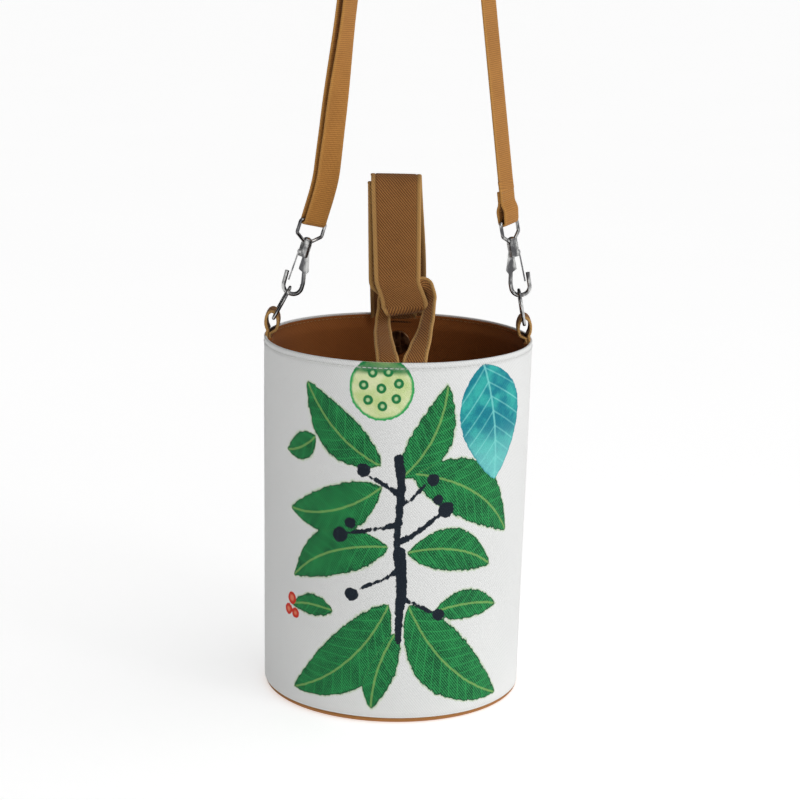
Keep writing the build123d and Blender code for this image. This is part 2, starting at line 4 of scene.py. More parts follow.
import bmesh
import bpy
import numpy as np
from mathutils import Matrix, Vector


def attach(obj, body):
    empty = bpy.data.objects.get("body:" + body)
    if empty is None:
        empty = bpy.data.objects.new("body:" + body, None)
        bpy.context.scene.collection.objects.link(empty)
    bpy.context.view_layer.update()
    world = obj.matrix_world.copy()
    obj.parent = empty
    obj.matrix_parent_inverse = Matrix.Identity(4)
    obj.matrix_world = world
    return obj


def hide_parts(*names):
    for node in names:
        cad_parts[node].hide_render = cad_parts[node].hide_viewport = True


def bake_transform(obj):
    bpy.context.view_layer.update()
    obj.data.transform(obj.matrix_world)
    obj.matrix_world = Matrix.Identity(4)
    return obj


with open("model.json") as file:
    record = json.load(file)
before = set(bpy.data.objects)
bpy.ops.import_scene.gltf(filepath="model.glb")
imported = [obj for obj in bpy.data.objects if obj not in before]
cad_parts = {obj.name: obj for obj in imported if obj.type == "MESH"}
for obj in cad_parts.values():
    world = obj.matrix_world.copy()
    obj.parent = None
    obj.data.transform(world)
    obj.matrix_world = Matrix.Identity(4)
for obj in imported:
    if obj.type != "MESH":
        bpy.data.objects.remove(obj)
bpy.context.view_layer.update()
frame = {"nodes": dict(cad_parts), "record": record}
nodes = frame["nodes"]
print("frame loaded:", len(nodes), "nodes")


class Signal:
    def __init__(self, recipe, socket):
        self.recipe = recipe
        self.socket = socket

    def run(self, operation, *others):
        sockets = {0: self}
        for place, other in enumerate(others):
            sockets[place + 1] = other
        return self.recipe.node("ShaderNodeMath", {"operation": operation}, sockets)

    def flip(self, operation, other):
        return self.recipe.node("ShaderNodeMath", {"operation": operation}, {0: other, 1: self})

    def __add__(self, other):
        return self.run("ADD", other)

    def __radd__(self, other):
        return self.flip("ADD", other)

    def __sub__(self, other):
        return self.run("SUBTRACT", other)

    def __rsub__(self, other):
        return self.flip("SUBTRACT", other)

    def __mul__(self, other):
        return self.run("MULTIPLY", other)

    def __abs__(self):
        return self.run("ABSOLUTE")

    def wave(self, pitch):
        return (self * (2 * pi / pitch)).run("SINE")

    def most(self, other):
        return self.run("MAXIMUM", other)

    def ramp(self, low, high):  # 0 below low, 1 above high, smooth between
        return self.recipe.node(
            "ShaderNodeMapRange",
            {"interpolation_type": "SMOOTHSTEP"},
            {"Value": self, "From Min": low, "From Max": high},
        )


class NodeWriter:  # adds nodes to one tree
    def __init__(self, tree):
        self.tree = tree

    def node(self, kind, settings, sockets, output=0):
        made = self.tree.nodes.new(kind)
        for key, value in settings.items():
            setattr(made, key, value)
        for key, value in sockets.items():
            self.feed(made.inputs[key], value)
        return Signal(self, made.outputs[output])

    def feed(self, socket, value):
        if isinstance(value, Signal):
            self.tree.links.new(value.socket, socket)
        elif isinstance(value, tuple) and len(value) == 3 and socket.type == "RGBA":
            socket.default_value = (*value, 1.0)
        else:
            socket.default_value = value

    def split(self, vector):
        made = self.tree.nodes.new("ShaderNodeSeparateXYZ")
        self.tree.links.new(vector.socket, made.inputs[0])
        return [Signal(self, made.outputs[i]) for i in range(3)]

    def noise(self, where, scale, detail=2.0, roughness=0.5):
        sockets = {"Vector": where, "Scale": scale, "Detail": detail, "Roughness": roughness}
        return self.node("ShaderNodeTexNoise", {}, sockets)

    def stretched(self, where, size):
        return self.node("ShaderNodeVectorMath", {"operation": "MULTIPLY"}, {0: where, 1: size})

    def mix(self, share, first, second):
        return self.node(
            "ShaderNodeMix", {"data_type": "RGBA", "clamp_factor": True}, {0: share, 6: first, 7: second}, 2
        )


class Recipe(NodeWriter):  # one material
    def __init__(self, name, roughness=0.8, metallic=0.0, specular=0.5):
        self.material = bpy.data.materials.new(name)
        self.material.use_nodes = True
        super().__init__(self.material.node_tree)
        self.tree.nodes.clear()
        self.output = self.tree.nodes.new("ShaderNodeOutputMaterial")
        self.shader = self.tree.nodes.new("ShaderNodeBsdfPrincipled")
        self.tree.links.new(self.shader.outputs[0], self.output.inputs[0])
        self.shader.inputs["Roughness"].default_value = roughness
        self.shader.inputs["Metallic"].default_value = metallic
        self.shader.inputs["Specular IOR Level"].default_value = specular

    def place(self):  # object coordinates, in metres
        return self.node("ShaderNodeTexCoord", {}, {}, "Object")

    def cloth(self):  # across and along the cloth, in metres
        spot = self.node("ShaderNodeUVMap", {"uv_map": "cloth"}, {})
        return spot, self.split(spot)

    def painted(self, name):
        return self.node("ShaderNodeAttribute", {"attribute_name": name}, {}, "Fac")

    def bump(self, height, distance, strength=1.0, below=None):
        sockets = {"Height": height, "Distance": distance, "Strength": strength}
        if below is not None:
            sockets["Normal"] = below
        return self.node("ShaderNodeBump", {}, sockets)

    def setSheen(self, weight):
        self.shader.inputs["Sheen Weight"].default_value = weight
        self.shader.inputs["Sheen Roughness"].default_value = 0.5

    def finish(self, colour=None, roughness=None, normal=None):
        for name, value in (("Base Color", colour), ("Roughness", roughness), ("Normal", normal)):
            if value is not None:
                self.feed(self.shader.inputs[name], value)
        return self.material


def twillWeave(recipe, across, along, pitch, slant):  # diagonal ribs with the finer cross threads over them
    ribs = (across * cos(radians(slant)) + along * sin(radians(slant))).wave(pitch)
    threads = (across * sin(radians(slant)) - along * cos(radians(slant))).wave(pitch * 0.8)
    return ribs * 0.36 + threads * 0.14 + 0.5


def makeTwill(name, values):
    recipe = Recipe(name, roughness=values["roughness"], specular=0.25)
    spot, (across, along, _) = recipe.cloth()
    weave = twillWeave(recipe, across, along, values["pitch"], values["slant"])
    blotch = recipe.noise(spot, values["blotchScale"], 3.0)
    fuzz = recipe.noise(spot, values["fuzzScale"], 2.0)
    shade = weave * 0.75 + blotch * 0.25 + fuzz * 0.30 - 0.15
    colour = recipe.mix(shade.ramp(0.15, 0.85), values["dark"], values["light"])
    wearAndHighlight = recipe.painted("wearAndHighlight")
    seam = wearAndHighlight.ramp(0.02, 0.12) - wearAndHighlight.ramp(0.35, 0.5)  # painted shade in the step beside a turned edge
    colour = recipe.mix(seam * values["seam"], colour, values["stepShadeColour"])
    # lighter rubbed edges, with a painted highlight on the turned and outer edges
    colour = recipe.mix(wearAndHighlight * values["wearAndHighlightAmount"], colour, values["wearAndHighlightColour"])
    recipe.setSheen(values["sheen"])
    fine = recipe.bump(weave + fuzz * 0.5, values["relief"])
    return recipe.finish(colour, normal=fine)


def makeMetal(name, values):
    recipe = Recipe(name, metallic=1.0)
    where = recipe.place()
    haze = recipe.noise(where, 260.0, 3.0)
    streakAndReflection = recipe.noise(recipe.stretched(where, (420.0, 420.0, 130.0)), 1.0, 3.0)
    scratch = recipe.noise(recipe.stretched(where, (900.0, 900.0, 160.0)), 1.0, 2.0)
    # dark and pale streaks in the metal's colour: plating streaks with painted dark and bright reflections
    colour = recipe.mix((streakAndReflection * 0.7 + haze * 0.3).ramp(0.40, 0.62), values["dark"], values["light"])
    rough = haze * 0.10 + scratch * 0.08 + (values["roughness"] - 0.09)
    return recipe.finish(colour, rough, recipe.bump(scratch, 0.00003, 0.25))


def makeThread(name, dark, light):
    recipe = Recipe(name, roughness=0.7, specular=0.3)
    x, y, z = recipe.split(recipe.place())
    ply = (x + y + z).wave(0.0007)
    return recipe.finish(recipe.mix(ply * 0.5 + 0.5, dark, light), normal=recipe.bump(ply, 0.0001, 0.6))


def clamp(share):
    return min(1.0, max(0.0, share))


def ease(share):
    return share * share * (3 - 2 * share)


def squareTo(width, way):  # the part of width that is square to way
    return (width - way * width.dot(way)).normalized()


def wayAt(points, i):  # the direction of a line of points at one of them
    return (points[min(i + 1, len(points) - 1)] - points[max(i - 1, 0)]).normalized()


def addObject(name, data):
    made = bpy.data.objects.new(name, data)
    bpy.context.scene.collection.objects.link(made)
    return made


def makeObject(name, points, faces, uvs, paints):
    mesh = bpy.data.meshes.new(name)
    mesh.from_pydata([tuple(p) for p in points], [], faces)
    mesh.update()
    layer = mesh.uv_layers.new(name="cloth")
    layer.data.foreach_set("uv", np.array(uvs, dtype=np.float32).ravel())  # one for each face corner
    for label, values in paints.items():
        attribute = mesh.attributes.new(label, "FLOAT", "POINT")
        attribute.data.foreach_set("value", np.array(values, dtype=np.float32))
    mesh.shade_smooth()
    return addObject(name, mesh)


def ringSurface(name, rings, uRow, vRow, paints, capEnds=True):
    # rings: rows of points, each row going round the piece; uRow, vRow: metres for each point
    rows, count = len(rings), len(rings[0])
    points = [p for ring in rings for p in ring]
    faces, uvs = [], []
    for i in range(rows - 1):
        u, uUp, v, vUp = uRow[i], uRow[i + 1], vRow[i], vRow[i + 1]
        for j in range(count):
            k = (j + 1) % count
            faces.append((i * count + j, i * count + k, (i + 1) * count + k, (i + 1) * count + j))
            uvs += [(u[j], v), (u[j + 1], v), (uUp[j + 1], vUp), (uUp[j], vUp)]
    if capEnds:
        for i, order in ((0, range(count - 1, -1, -1)), (rows - 1, range(count))):
            faces.append(tuple(i * count + j for j in order))
            uvs += [(uRow[i][j], vRow[i]) for j in order]
    return makeObject(name, points, faces, uvs, paints)


def strapProfile(halfWidth, values, across=12, edge=5):
    # one ring of (across, out, edge wear with painted highlight): face, rounded edge, back, rounded edge
    half = values["thickness"] / 2
    flat = halfWidth - half
    grooves = [side * (halfWidth - inset) for inset in values["stitchInsets"] for side in (-1, 1)]
    plain = min([flat] + [abs(g) - 0.0012 for g in grooves])
    spots = [-plain + 2 * plain * step / across for step in range(across + 1)]
    spots += [g + d for g in grooves for d in (-0.0008, -0.0004, 0.0, 0.0004, 0.0008)]
    spots = sorted(spots + ([-flat, flat] if grooves else []))

    def face(x):
        dip = sum(max(0.0, 1 - abs(x - g) / 0.0008) for g in grooves) * values["grooveDepth"]
        return half - dip + values["puff"] * (1 - (x / flat) ** 4)

    # how strongly each edge shows rubbing and a painted highlight
    def wearAndHighlightAmount(x):
        edgeWearAndHighlight = max(0.0, 1 - (halfWidth - abs(x)) / 0.0020)
        if not grooves:
            return edgeWearAndHighlight
        turned = clamp((abs(x) - abs(grooves[0]) - 0.0001) / 0.0004)
        return 0.55 * turned + 0.45 * edgeWearAndHighlight

    ring = [(x, face(x), wearAndHighlightAmount(x)) for x in spots]
    for step in range(1, edge):
        angle = pi / 2 - pi * step / edge
        ring.append((flat + half * cos(angle), half * sin(angle), 1.0))
    ring += [(x, -face(x), wearAndHighlightAmount(x)) for x in reversed(spots)]
    for step in range(1, edge):
        angle = -pi / 2 - pi * step / edge
        ring.append((-flat + half * cos(angle), half * sin(angle), 1.0))
    return ring


def buildStrap(name, rows, values):
    # rows: (point, way along, width direction, half width) in metres, close together
    rings, uRows, vRow, wearAndHighlight = [], [], [], []
    travelled, before = 0.0, None
    for point, way, width, halfWidth in rows:
        out = width.cross(way).normalized()
        if before is not None:
            travelled += (point - before).length
        before = point
        profile = strapProfile(halfWidth, values)
        ring, uRow, run = [], [], 0.0
        for index, (x, y, wearAndHighlightAmount) in enumerate(profile):
            ring.append(point + width * x + out * y)
            if index:
                run += hypot(x - profile[index - 1][0], y - profile[index - 1][1])
            uRow.append(run - halfWidth)
            wearAndHighlight.append(wearAndHighlightAmount)
        uRow.append(run - halfWidth + values["thickness"] * 0.3)
        rings.append([tuple(p) for p in ring])
        uRows.append(uRow)
        vRow.append(travelled)
    return turnOut(ringSurface(name, rings, uRows, vRow, {"wearAndHighlight": wearAndHighlight}))


def turnOut(made, gap=0.0):  # turns every face outward and joins the points closer than the gap
    work = bmesh.new()
    work.from_mesh(made.data)
    if gap:
        bmesh.ops.remove_doubles(work, verts=work.verts, dist=gap)
    bmesh.ops.recalc_face_normals(work, faces=work.faces)
    work.to_mesh(made.data)
    work.free()
    return made


def dress(made, material):
    made.data.materials.clear()
    made.data.materials.append(material)
    return made


def densify(sections, step):
    # smooth rows between sections of (point, way, width direction, half width)
    rows = []
    for (p0, t0, w0, h0), (p1, t1, w1, h1) in zip(sections, sections[1:]):
        reach = (p1 - p0).length
        count = max(1, ceil(reach / step))
        for i in range(count):
            s = i / count
            a, b = 2 * s ** 3 - 3 * s ** 2 + 1, s ** 3 - 2 * s ** 2 + s
            c, d = -2 * s ** 3 + 3 * s ** 2, s ** 3 - s ** 2
            point = p0 * a + t0 * (reach * b) + p1 * c + t1 * (reach * d)
            way = (
                p0 * (6 * s * s - 6 * s) + t0 * (reach * (3 * s * s - 4 * s + 1))
                + p1 * (6 * s - 6 * s * s) + t1 * (reach * (3 * s * s - 2 * s))
            ).normalized()
            smooth = ease(s)
            width = w0.lerp(w1, smooth)
            width = squareTo(width, way)
            rows.append((point, way, width, h0 + (h1 - h0) * smooth))
    point, way, width, half = sections[-1]
    rows.append((point, way.normalized(), width, half))
    return rows


def stitchTree(name):
    tree = bpy.data.node_groups.new(name, "GeometryNodeTree")
    for label, way, kind in (
        ("Geometry", "INPUT", "Geometry"), ("Pitch", "INPUT", "Float"), ("Length", "INPUT", "Float"),
        ("Thickness", "INPUT", "Float"), ("Thread", "INPUT", "Material"), ("Geometry", "OUTPUT", "Geometry"),
    ):
        tree.interface.new_socket(label, in_out=way, socket_type="NodeSocket" + kind)
    parts = {label: tree.nodes.new(kind) for label, kind in {
        "inlet": "NodeGroupInput", "outlet": "NodeGroupOutput", "curve": "GeometryNodeMeshToCurve",
        "resample": "GeometryNodeResampleCurve", "ball": "GeometryNodeMeshUVSphere",
        "shape": "GeometryNodeTransform", "size": "ShaderNodeCombineXYZ",
        "scatter": "GeometryNodeInstanceOnPoints", "tangent": "GeometryNodeInputTangent",
        "align": "FunctionNodeAlignRotationToVector", "real": "GeometryNodeRealizeInstances",
        "paint": "GeometryNodeSetMaterial",
    }.items()}
    parts["resample"].mode = "LENGTH"
    parts["align"].axis = "X"
    for label, value in (("Segments", 8), ("Rings", 6), ("Radius", 0.5)):
        parts["ball"].inputs[label].default_value = value
    for start, output, end, entry in (
        ("inlet", "Geometry", "curve", 0), ("curve", 0, "resample", "Curve"),
        ("inlet", "Pitch", "resample", "Length"), ("resample", 0, "scatter", "Points"),
        ("inlet", "Length", "size", 0), ("inlet", "Thickness", "size", 1), ("inlet", "Thickness", "size", 2),
        ("ball", "Mesh", "shape", "Geometry"), ("size", 0, "shape", "Scale"),
        ("shape", 0, "scatter", "Instance"), ("tangent", 0, "align", "Vector"),
        ("align", 0, "scatter", "Rotation"), ("scatter", 0, "real", 0), ("real", 0, "paint", "Geometry"),
        ("inlet", "Thread", "paint", "Material"), ("paint", 0, "outlet", 0),
    ):
        tree.links.new(parts[start].outputs[output], parts[end].inputs[entry])
    return tree


stitchNodes = stitchTree("stitchRow")


def sewStitches(name, paths, values, thread):
    points, edges = [], []
    for path in paths:
        start = len(points)
        points += [tuple(p) for p in path]
        edges += [(start + i, start + i + 1) for i in range(len(path) - 1)]
    guide = bpy.data.meshes.new(name + "Guide")
    guide.from_pydata(points, edges, [])
    holder = addObject(name + "Guide", guide)
    modifier = holder.modifiers.new("stitches", "NODES")
    modifier.node_group = stitchNodes
    inputs = [item for item in stitchNodes.interface.items_tree if item.in_out == "INPUT"]
    named = {item.name: item.identifier for item in inputs}
    for label, value in (("Pitch", values["stitchPitch"]), ("Length", values["stitchLength"]),
                         ("Thickness", values["stitchThickness"]), ("Thread", thread)):
        modifier[named[label]] = value
    bpy.context.view_layer.update()
    evaluated = holder.evaluated_get(bpy.context.evaluated_depsgraph_get())
    mesh = bpy.data.meshes.new_from_object(evaluated)
    mesh.name = name
    holder.modifiers.clear()
    bpy.data.objects.remove(holder)
    mesh.shade_smooth()
    if not mesh.materials:
        mesh.materials.append(thread)
    return addObject(name, mesh)


canvasPrint = {
    "white": (0.84, 0.845, 0.835), "shadeWhite": (0.71, 0.715, 0.71),
    "green": (0.010, 0.200, 0.055), "brightGreen": (0.035, 0.40, 0.105), "darkGreen": (0.002, 0.050, 0.020),
    "fringe": (0.30, 0.52, 0.14), "teal": (0.004, 0.21, 0.28), "paleTeal": (0.035, 0.44, 0.40),
    "pod": (0.58, 0.72, 0.30), "twig": (0.006, 0.012, 0.022), "paleTwig": (0.030, 0.060, 0.075),
    "tealTip": (0.22, 0.70, 0.66), "berry": (0.62, 0.030, 0.014), "berryHeart": (0.78, 0.22, 0.12),
    "palePod": (0.78, 0.84, 0.50), "seedHeart": (0.50, 0.70, 0.36), "hemShade": (0.40, 0.40, 0.39),
    "pitch": 0.00115, "slant": 38.0, "ragged": 0.0022, "relief": 0.00016,
}


def makeCanvas(name, values):
    recipe = Recipe(name, roughness=0.78, specular=0.25)
    mix, painted, noise = recipe.mix, recipe.painted, recipe.noise
    spot, (across, along, _) = recipe.cloth()
    weave = twillWeave(recipe, across, along, values["pitch"], values["slant"])
    cloud = noise(spot, 18.0, 3.0)
    grain = noise(spot, 900.0, 2.0)
    tone = weave * 0.45 + cloud * 0.35 + grain * 0.25
    colour = mix(tone.ramp(0.2, 0.75), values["shadeWhite"], values["white"])
    brush = noise(recipe.stretched(spot, (1.0, 0.6, 1.0)), 330.0, 4.0, 0.68)
    ragged = (brush - 0.5) * (values["ragged"] * 2)
    dry = noise(spot, 1100.0, 2.0)
    load = noise(spot, 95.0, 3.0)  # how much paint the brush left

    leaf = painted("leafEdge") + ragged
    rib, side = painted("leafAcross"), painted("leafAlong")
    veins = (side - abs(rib) * 0.9).wave(0.0070)
    strokes = (brush * 0.5 + dry * 0.35 + weave * 0.45 + load * 0.4 - 0.35).ramp(0.30, 0.62)
    paint = mix(strokes, values["darkGreen"], values["green"])
    flecks = (dry * 0.7 + weave * 0.5 + load * 0.35 - 0.2).ramp(0.58, 0.80)
    paint = mix(flecks * 0.85, paint, values["brightGreen"])
    paint = mix(veins.ramp(0.80, 0.98) * (0.25 + load * 0.3), paint, values["brightGreen"])
    paint = mix((1.0 - abs(rib + ragged * 0.3).ramp(0.0003, 0.0009)) * 0.55, paint, values["fringe"])
    paint = mix((1.0 - leaf.ramp(0.0003, 0.0013)) * 0.75, paint, values["darkGreen"])
    colour = mix(leaf.ramp(-0.0012, -0.0003) * 0.40, colour, values["fringe"])
    colour = mix(leaf.ramp(-0.00015, 0.00025), colour, paint)

    wash = noise(spot, 70.0, 4.0, 0.6)
    tealEdge = painted("tealEdge") + ragged * 0.6
    tealRib = painted("tealAcross")
    tealVeins = (painted("tealAlong") - abs(tealRib) * 0.8).wave(0.0085)
    blue = mix((wash + (load - 0.5) * 0.4).ramp(0.38, 0.68), values["teal"], values["paleTeal"])
    blue = mix((1.0 - along.ramp(0.142, 0.168)) * 0.65, blue, values["tealTip"])
    blue = mix(tealVeins.ramp(0.84, 1.0) * wash, blue, values["tealTip"])
    blue = mix((1.0 - abs(tealRib + ragged * 0.3).ramp(0.0002, 0.0010)) * 0.7, blue, values["tealTip"])
    blue = mix((1.0 - tealEdge.ramp(0.0002, 0.0016)) * 0.5, blue, values["teal"])
    colour = mix(tealEdge.ramp(-0.0002, 0.0003), colour, blue)

    podEdge = painted("podEdge") + ragged * 0.5
    seeds = painted("seedEdge") + ragged * 0.2
    pod = mix(wash.ramp(0.4, 0.7), values["pod"], values["palePod"])
    pod = mix(1.0 - podEdge.ramp(0.0008, 0.0022), pod, values["brightGreen"])
    pod = mix(along.ramp(0.1945, 0.1975) * (0.35 + load), pod, values["green"])
    pod = mix(seeds.ramp(-0.0003, 0.0003), pod, values["green"])
    pod = mix(seeds.ramp(0.0012, 0.0020), pod, values["seedHeart"])
    colour = mix(podEdge.ramp(-0.0002, 0.0003), colour, pod)

    twig = painted("twigEdge") + ragged * 0.8
    ink = mix((brush * 0.6 + dry * 0.4).ramp(0.52, 0.78), values["twig"], values["paleTwig"])
    colour = mix(twig.ramp(-0.00015, 0.00025), colour, ink)
    berry = painted("berryEdge") + ragged * 0.3
    red = mix(berry.ramp(0.0010, 0.0026), values["berry"], values["berryHeart"])
    colour = mix(berry.ramp(-0.00015, 0.00025), colour, red)
    hem = painted("groove")
    colour = mix(hem * 0.35, colour, values["hemShade"])
    fine = recipe.bump(weave * 0.8 + grain * 0.4, values["relief"], 0.9)
    return recipe.finish(colour, normal=recipe.bump(1.0 - hem, 0.0005, 0.8, fine))


# the seam amount and its colour set the painted shade beside the turned edges; the wear entries set the
# lighter rubbed edges with their painted highlight
strapTwillLook = {
    "light": (0.42, 0.180, 0.048), "dark": (0.115, 0.042, 0.010), "wearAndHighlightColour": (0.62, 0.36, 0.12),
    "pitch": 0.00118, "slant": 40.0, "relief": 0.00030, "roughness": 0.86, "sheen": 0.08,
    "wearAndHighlightAmount": 0.75, "seam": 0.55, "stepShadeColour": (0.09, 0.038, 0.012), "blotchScale": 60.0, "fuzzScale": 1600.0,
}
liningTwillLook = {
    "light": (0.38, 0.125, 0.025), "dark": (0.20, 0.058, 0.010), "wearAndHighlightColour": (0.36, 0.20, 0.10),
    "pitch": 0.0010, "slant": 42.0, "relief": 0.00012, "roughness": 0.88, "sheen": 0.05,
    "wearAndHighlightAmount": 0.3, "seam": 0.0, "stepShadeColour": (0.09, 0.038, 0.012), "blotchScale": 24.0, "fuzzScale": 1200.0,
}
baseTwillLook = {**liningTwillLook, "light": (0.46, 0.205, 0.058), "dark": (0.26, 0.105, 0.028)}


# the wear entries set the lighter rubbed edges, which also paint in a highlight
webbingLook = {
    "pick": 0.00110, "end": 0.00090, "dark": (0.25, 0.098, 0.017), "light": (0.56, 0.250, 0.052),
    "wearAndHighlightColour": (0.62, 0.33, 0.09), "wearAndHighlightAmount": 0.35, "sheen": 0.06, "relief": 0.00016,
}


def makeWebbingWeave(name, values):
    recipe = Recipe(name, roughness=0.82, specular=0.25)
    spot, (across, along, _) = recipe.cloth()
    weave = along.wave(values["pick"]) * 0.22 + across.wave(values["end"]) * 0.22 + 0.5
    fuzz = recipe.noise(spot, 1500.0, 2.0)
    drift = recipe.noise(spot, 45.0, 3.0)
    shade = weave * 0.6 + fuzz * 0.35 + drift * 0.3 - 0.12
    colour = recipe.mix(shade.ramp(0.15, 0.85), values["dark"], values["light"])
    # lighter rubbed edges with a painted highlight
    colour = recipe.mix(recipe.painted("wearAndHighlight") * values["wearAndHighlightAmount"], colour, values["wearAndHighlightColour"])
    recipe.setSheen(values["sheen"])
    return recipe.finish(colour, normal=recipe.bump(weave + fuzz * 0.4, values["relief"]))


def makeFoam(name, light, dark, scale):
    recipe = Recipe(name, roughness=0.9, specular=0.2)
    where = recipe.place()
    cells = recipe.noise(where, scale, 3.0)
    return recipe.finish(recipe.mix(cells.ramp(0.3, 0.7), dark, light), normal=recipe.bump(cells, 0.0003))


studio = {
    "floorHalf": 60.0, "floorGlow": 0.59, "glowWay": (0.80, -0.38, 0.46), "glowSpread": (-0.05, 0.95),
    "glow": 1.00, "dim": 0.03, "horizon": 0.50,
    "eye": (0.0019, -1.1500, 0.4250), "down": 12.73, "roll": 1.21, "lens": 94.14,
}


def makeFloor(name):
    recipe = Recipe(name, roughness=0.9, specular=0.1)
    tone = recipe.noise(recipe.place(), 3.0, 2.0)
    recipe.shader.inputs["Emission Color"].default_value = (1, 1, 1, 1)
    recipe.shader.inputs["Emission Strength"].default_value = studio["floorGlow"]
    return recipe.finish(recipe.mix(tone.ramp(0.3, 0.7), (0.83, 0.83, 0.83), (0.84, 0.84, 0.84)))


canvasWhite = makeCanvas("printedCanvas", canvasPrint)
strapTwill = makeTwill("strapTwill", strapTwillLook)
liningTwill = makeTwill("liningTwill", liningTwillLook)
baseTwill = makeTwill("baseTwill", baseTwillLook)
webbingWeave = makeWebbingWeave("shoulderWebbingWeave", webbingLook)
nickelLook = {"light": (0.60, 0.60, 0.59), "dark": (0.10, 0.10, 0.105), "roughness": 0.17}
nickel = makeMetal("nickelPlate", nickelLook)
# a darker copy of the nickel: painted shade for the hook gates
nickelPaintedShade = makeMetal("nickelPaintedShade", {**nickelLook, "light": (0.42, 0.42, 0.42)})
bronzeLook = {"light": (0.36, 0.20, 0.10), "dark": (0.10, 0.045, 0.020), "roughness": 0.32}
snapBronze = makeMetal("snapBronze", bronzeLook)
foam = makeFoam("foamSheet", (0.78, 0.78, 0.76), (0.66, 0.66, 0.64), 900.0)
board = makeFoam("stiffBoard", (0.62, 0.62, 0.60), (0.52, 0.52, 0.50), 300.0)
whiteThread = makeThread("whiteThread", (0.62, 0.62, 0.60), (0.84, 0.84, 0.82))
tanThread = makeThread("tanThread", (0.26, 0.13, 0.05), (0.50, 0.30, 0.13))
print("finishes made")

for name, finish in {
    "base_board": board,
    **{f"{part}_{side}": snapBronze for side in ("front", "back") for part in ("snap", "snap_washer")},
    "strap_slider": nickel,
    **{f"{part}_{side}": nickel for side in ("left", "right")
       for part in ("d_ring", "hook_body", "hook_eye", "gate_rivet", "swivel_post")},
    "gate_left": nickelPaintedShade, "gate_right": nickelPaintedShade,
}.items():
    for holder in nodes[name].material_slots:
        holder.material = finish


canvasShape = {
    "rimRadius": 0.0750, "hemRadius": 0.0730, "height": 0.2020, "hemHeight": 0.0034,
    "thickness": 0.0009, "lipWidth": 0.0015, "lipDepth": 0.0013, "rimRound": 0.0006,
    "frontSegments": 330, "backSegments": 110, "rows": 196, "wobble": 0.00035,
    "stitchDrop": 0.0031, "stitchPitch": 0.0029, "stitchLength": 0.0024, "stitchThickness": 0.00042,
    "threadLift": 0.00005, "seamHalf": 0.0016, "seamLow": 0.008, "seamReach": 0.188,
}


def wallRadius(z):
    c = canvasShape
    rise = c["height"] - c["hemHeight"]
    return c["hemRadius"] + (c["rimRadius"] - c["hemRadius"]) * (z - c["hemHeight"]) / rise


def roundPoint(r, angle, z):
    return (r * sin(angle), -r * cos(angle), z)


def wobble(angle, z):  # the soft unevenness of a sewn wall
    s = canvasShape["wobble"]
    return s * (
        0.5 * sin(3 * angle + 0.7 + z * 11) + 0.35 * sin(5 * angle - 1.1 - z * 23)
        + 0.25 * sin(9 * angle + 2.0 + z * 41)
    )


def turnShell(name, profile, angles, moved=None, paints=None):
    # profile: (radius, height) pairs, closed on itself
    rings, uRows, vRow, wearAndHighlight = [], [], [], []
    for r, z in profile:
        rings.append([roundPoint(r + (moved(angle, z) if moved else 0.0), angle, z) for angle in angles])
        uRows.append([angle * canvasShape["rimRadius"] for angle in (*angles, angles[0] + 2 * pi)])
        vRow.append(z)
        wearAndHighlight += [0.0] * len(angles)
    made = ringSurface(name, rings, uRows, vRow, {"wearAndHighlight": wearAndHighlight, **(paints or {})}, capEnds=False)
    layer = made.data.uv_layers["cloth"]
    for face in made.data.polygons:
        if abs(face.normal.z) > 0.8:
            for corner in face.loop_indices:
                point = made.data.vertices[made.data.loops[corner].vertex_index].co
                layer.data[corner].uv = (point.x, point.y)
    return turnOut(made, 1e-6)


def leafDistance(x, z, leaf):
    # (inside distance, along, across) of one leaf that bends between its stalk and its tip
    (x0, z0), (x1, z1), width, bend = leaf
    dx, dz = x1 - x0, z1 - z0
    reach = np.hypot(dx, dz)
    ux, uz = dx / reach, dz / reach
    along = (x - x0) * ux + (z - z0) * uz
    share = np.clip(along / reach, 0.0, 1.0)
    across = -(x - x0) * uz + (z - z0) * ux - bend * 4 * share * (1 - share)
    half = width / 2 * np.sin(pi * share ** 0.85) ** 0.8
    over = np.maximum(np.maximum(-along, along - reach), 0.0)
    return half - np.abs(across) - over, along, across


leafPrint = {  # millimetres round the front and up the wall: stalk, tip, width, bend
    "leaves": [
        ((-7, 134), (-65, 115), 27, 6), ((-8, 146), (-52, 188), 25, 5), ((-46, 158), (-68, 147), 15, 2),
        ((3, 139), (28, 190), 23, -6), ((10, 142), (73, 103), 32, 8), ((-3, 101), (-62, 77), 27, -7),
        ((8, 98), (60, 86), 24, 6), ((-2, 68), (-62, 12), 32, 9), ((9, 68), (69, 9), 34, -9),
        ((2, 52), (-11, 8), 20, -3), ((24, 64), (66, 62), 17, 3), ((-34, 62), (-64, 60), 12, -2),
    ],
    "teal": ((50, 199), (61, 134), 46, 4),
    "pod": ((-8, 188), 17.5), "seed": 2.7,
    "twigs": [((2, 150), (3, 98), 5.0), ((3, 98), (5, 48), 6.4), ((3, 114), (-30, 106), 3.4),
              ((3, 104), (29, 120), 3.8), ((4, 72), (25, 63), 3.4), ((2, 130), (-16, 142), 3.2),
              ((3, 88), (-22, 74), 3.0), ((3, 124), (20, 137), 2.8)],
    "buds": [(-30, 106, 4.4), (-17, 143, 3.8), (29, 121, 4.6), (-23, 73, 3.8), (21, 138, 3.4), (26, 62, 3.4),
             (-24, 113, 3.2), (24, 127, 3.0)],
    "berries": [(-64, 63, 3.6), (-67, 56, 3.2), (-61, 55, 3.0)],
}


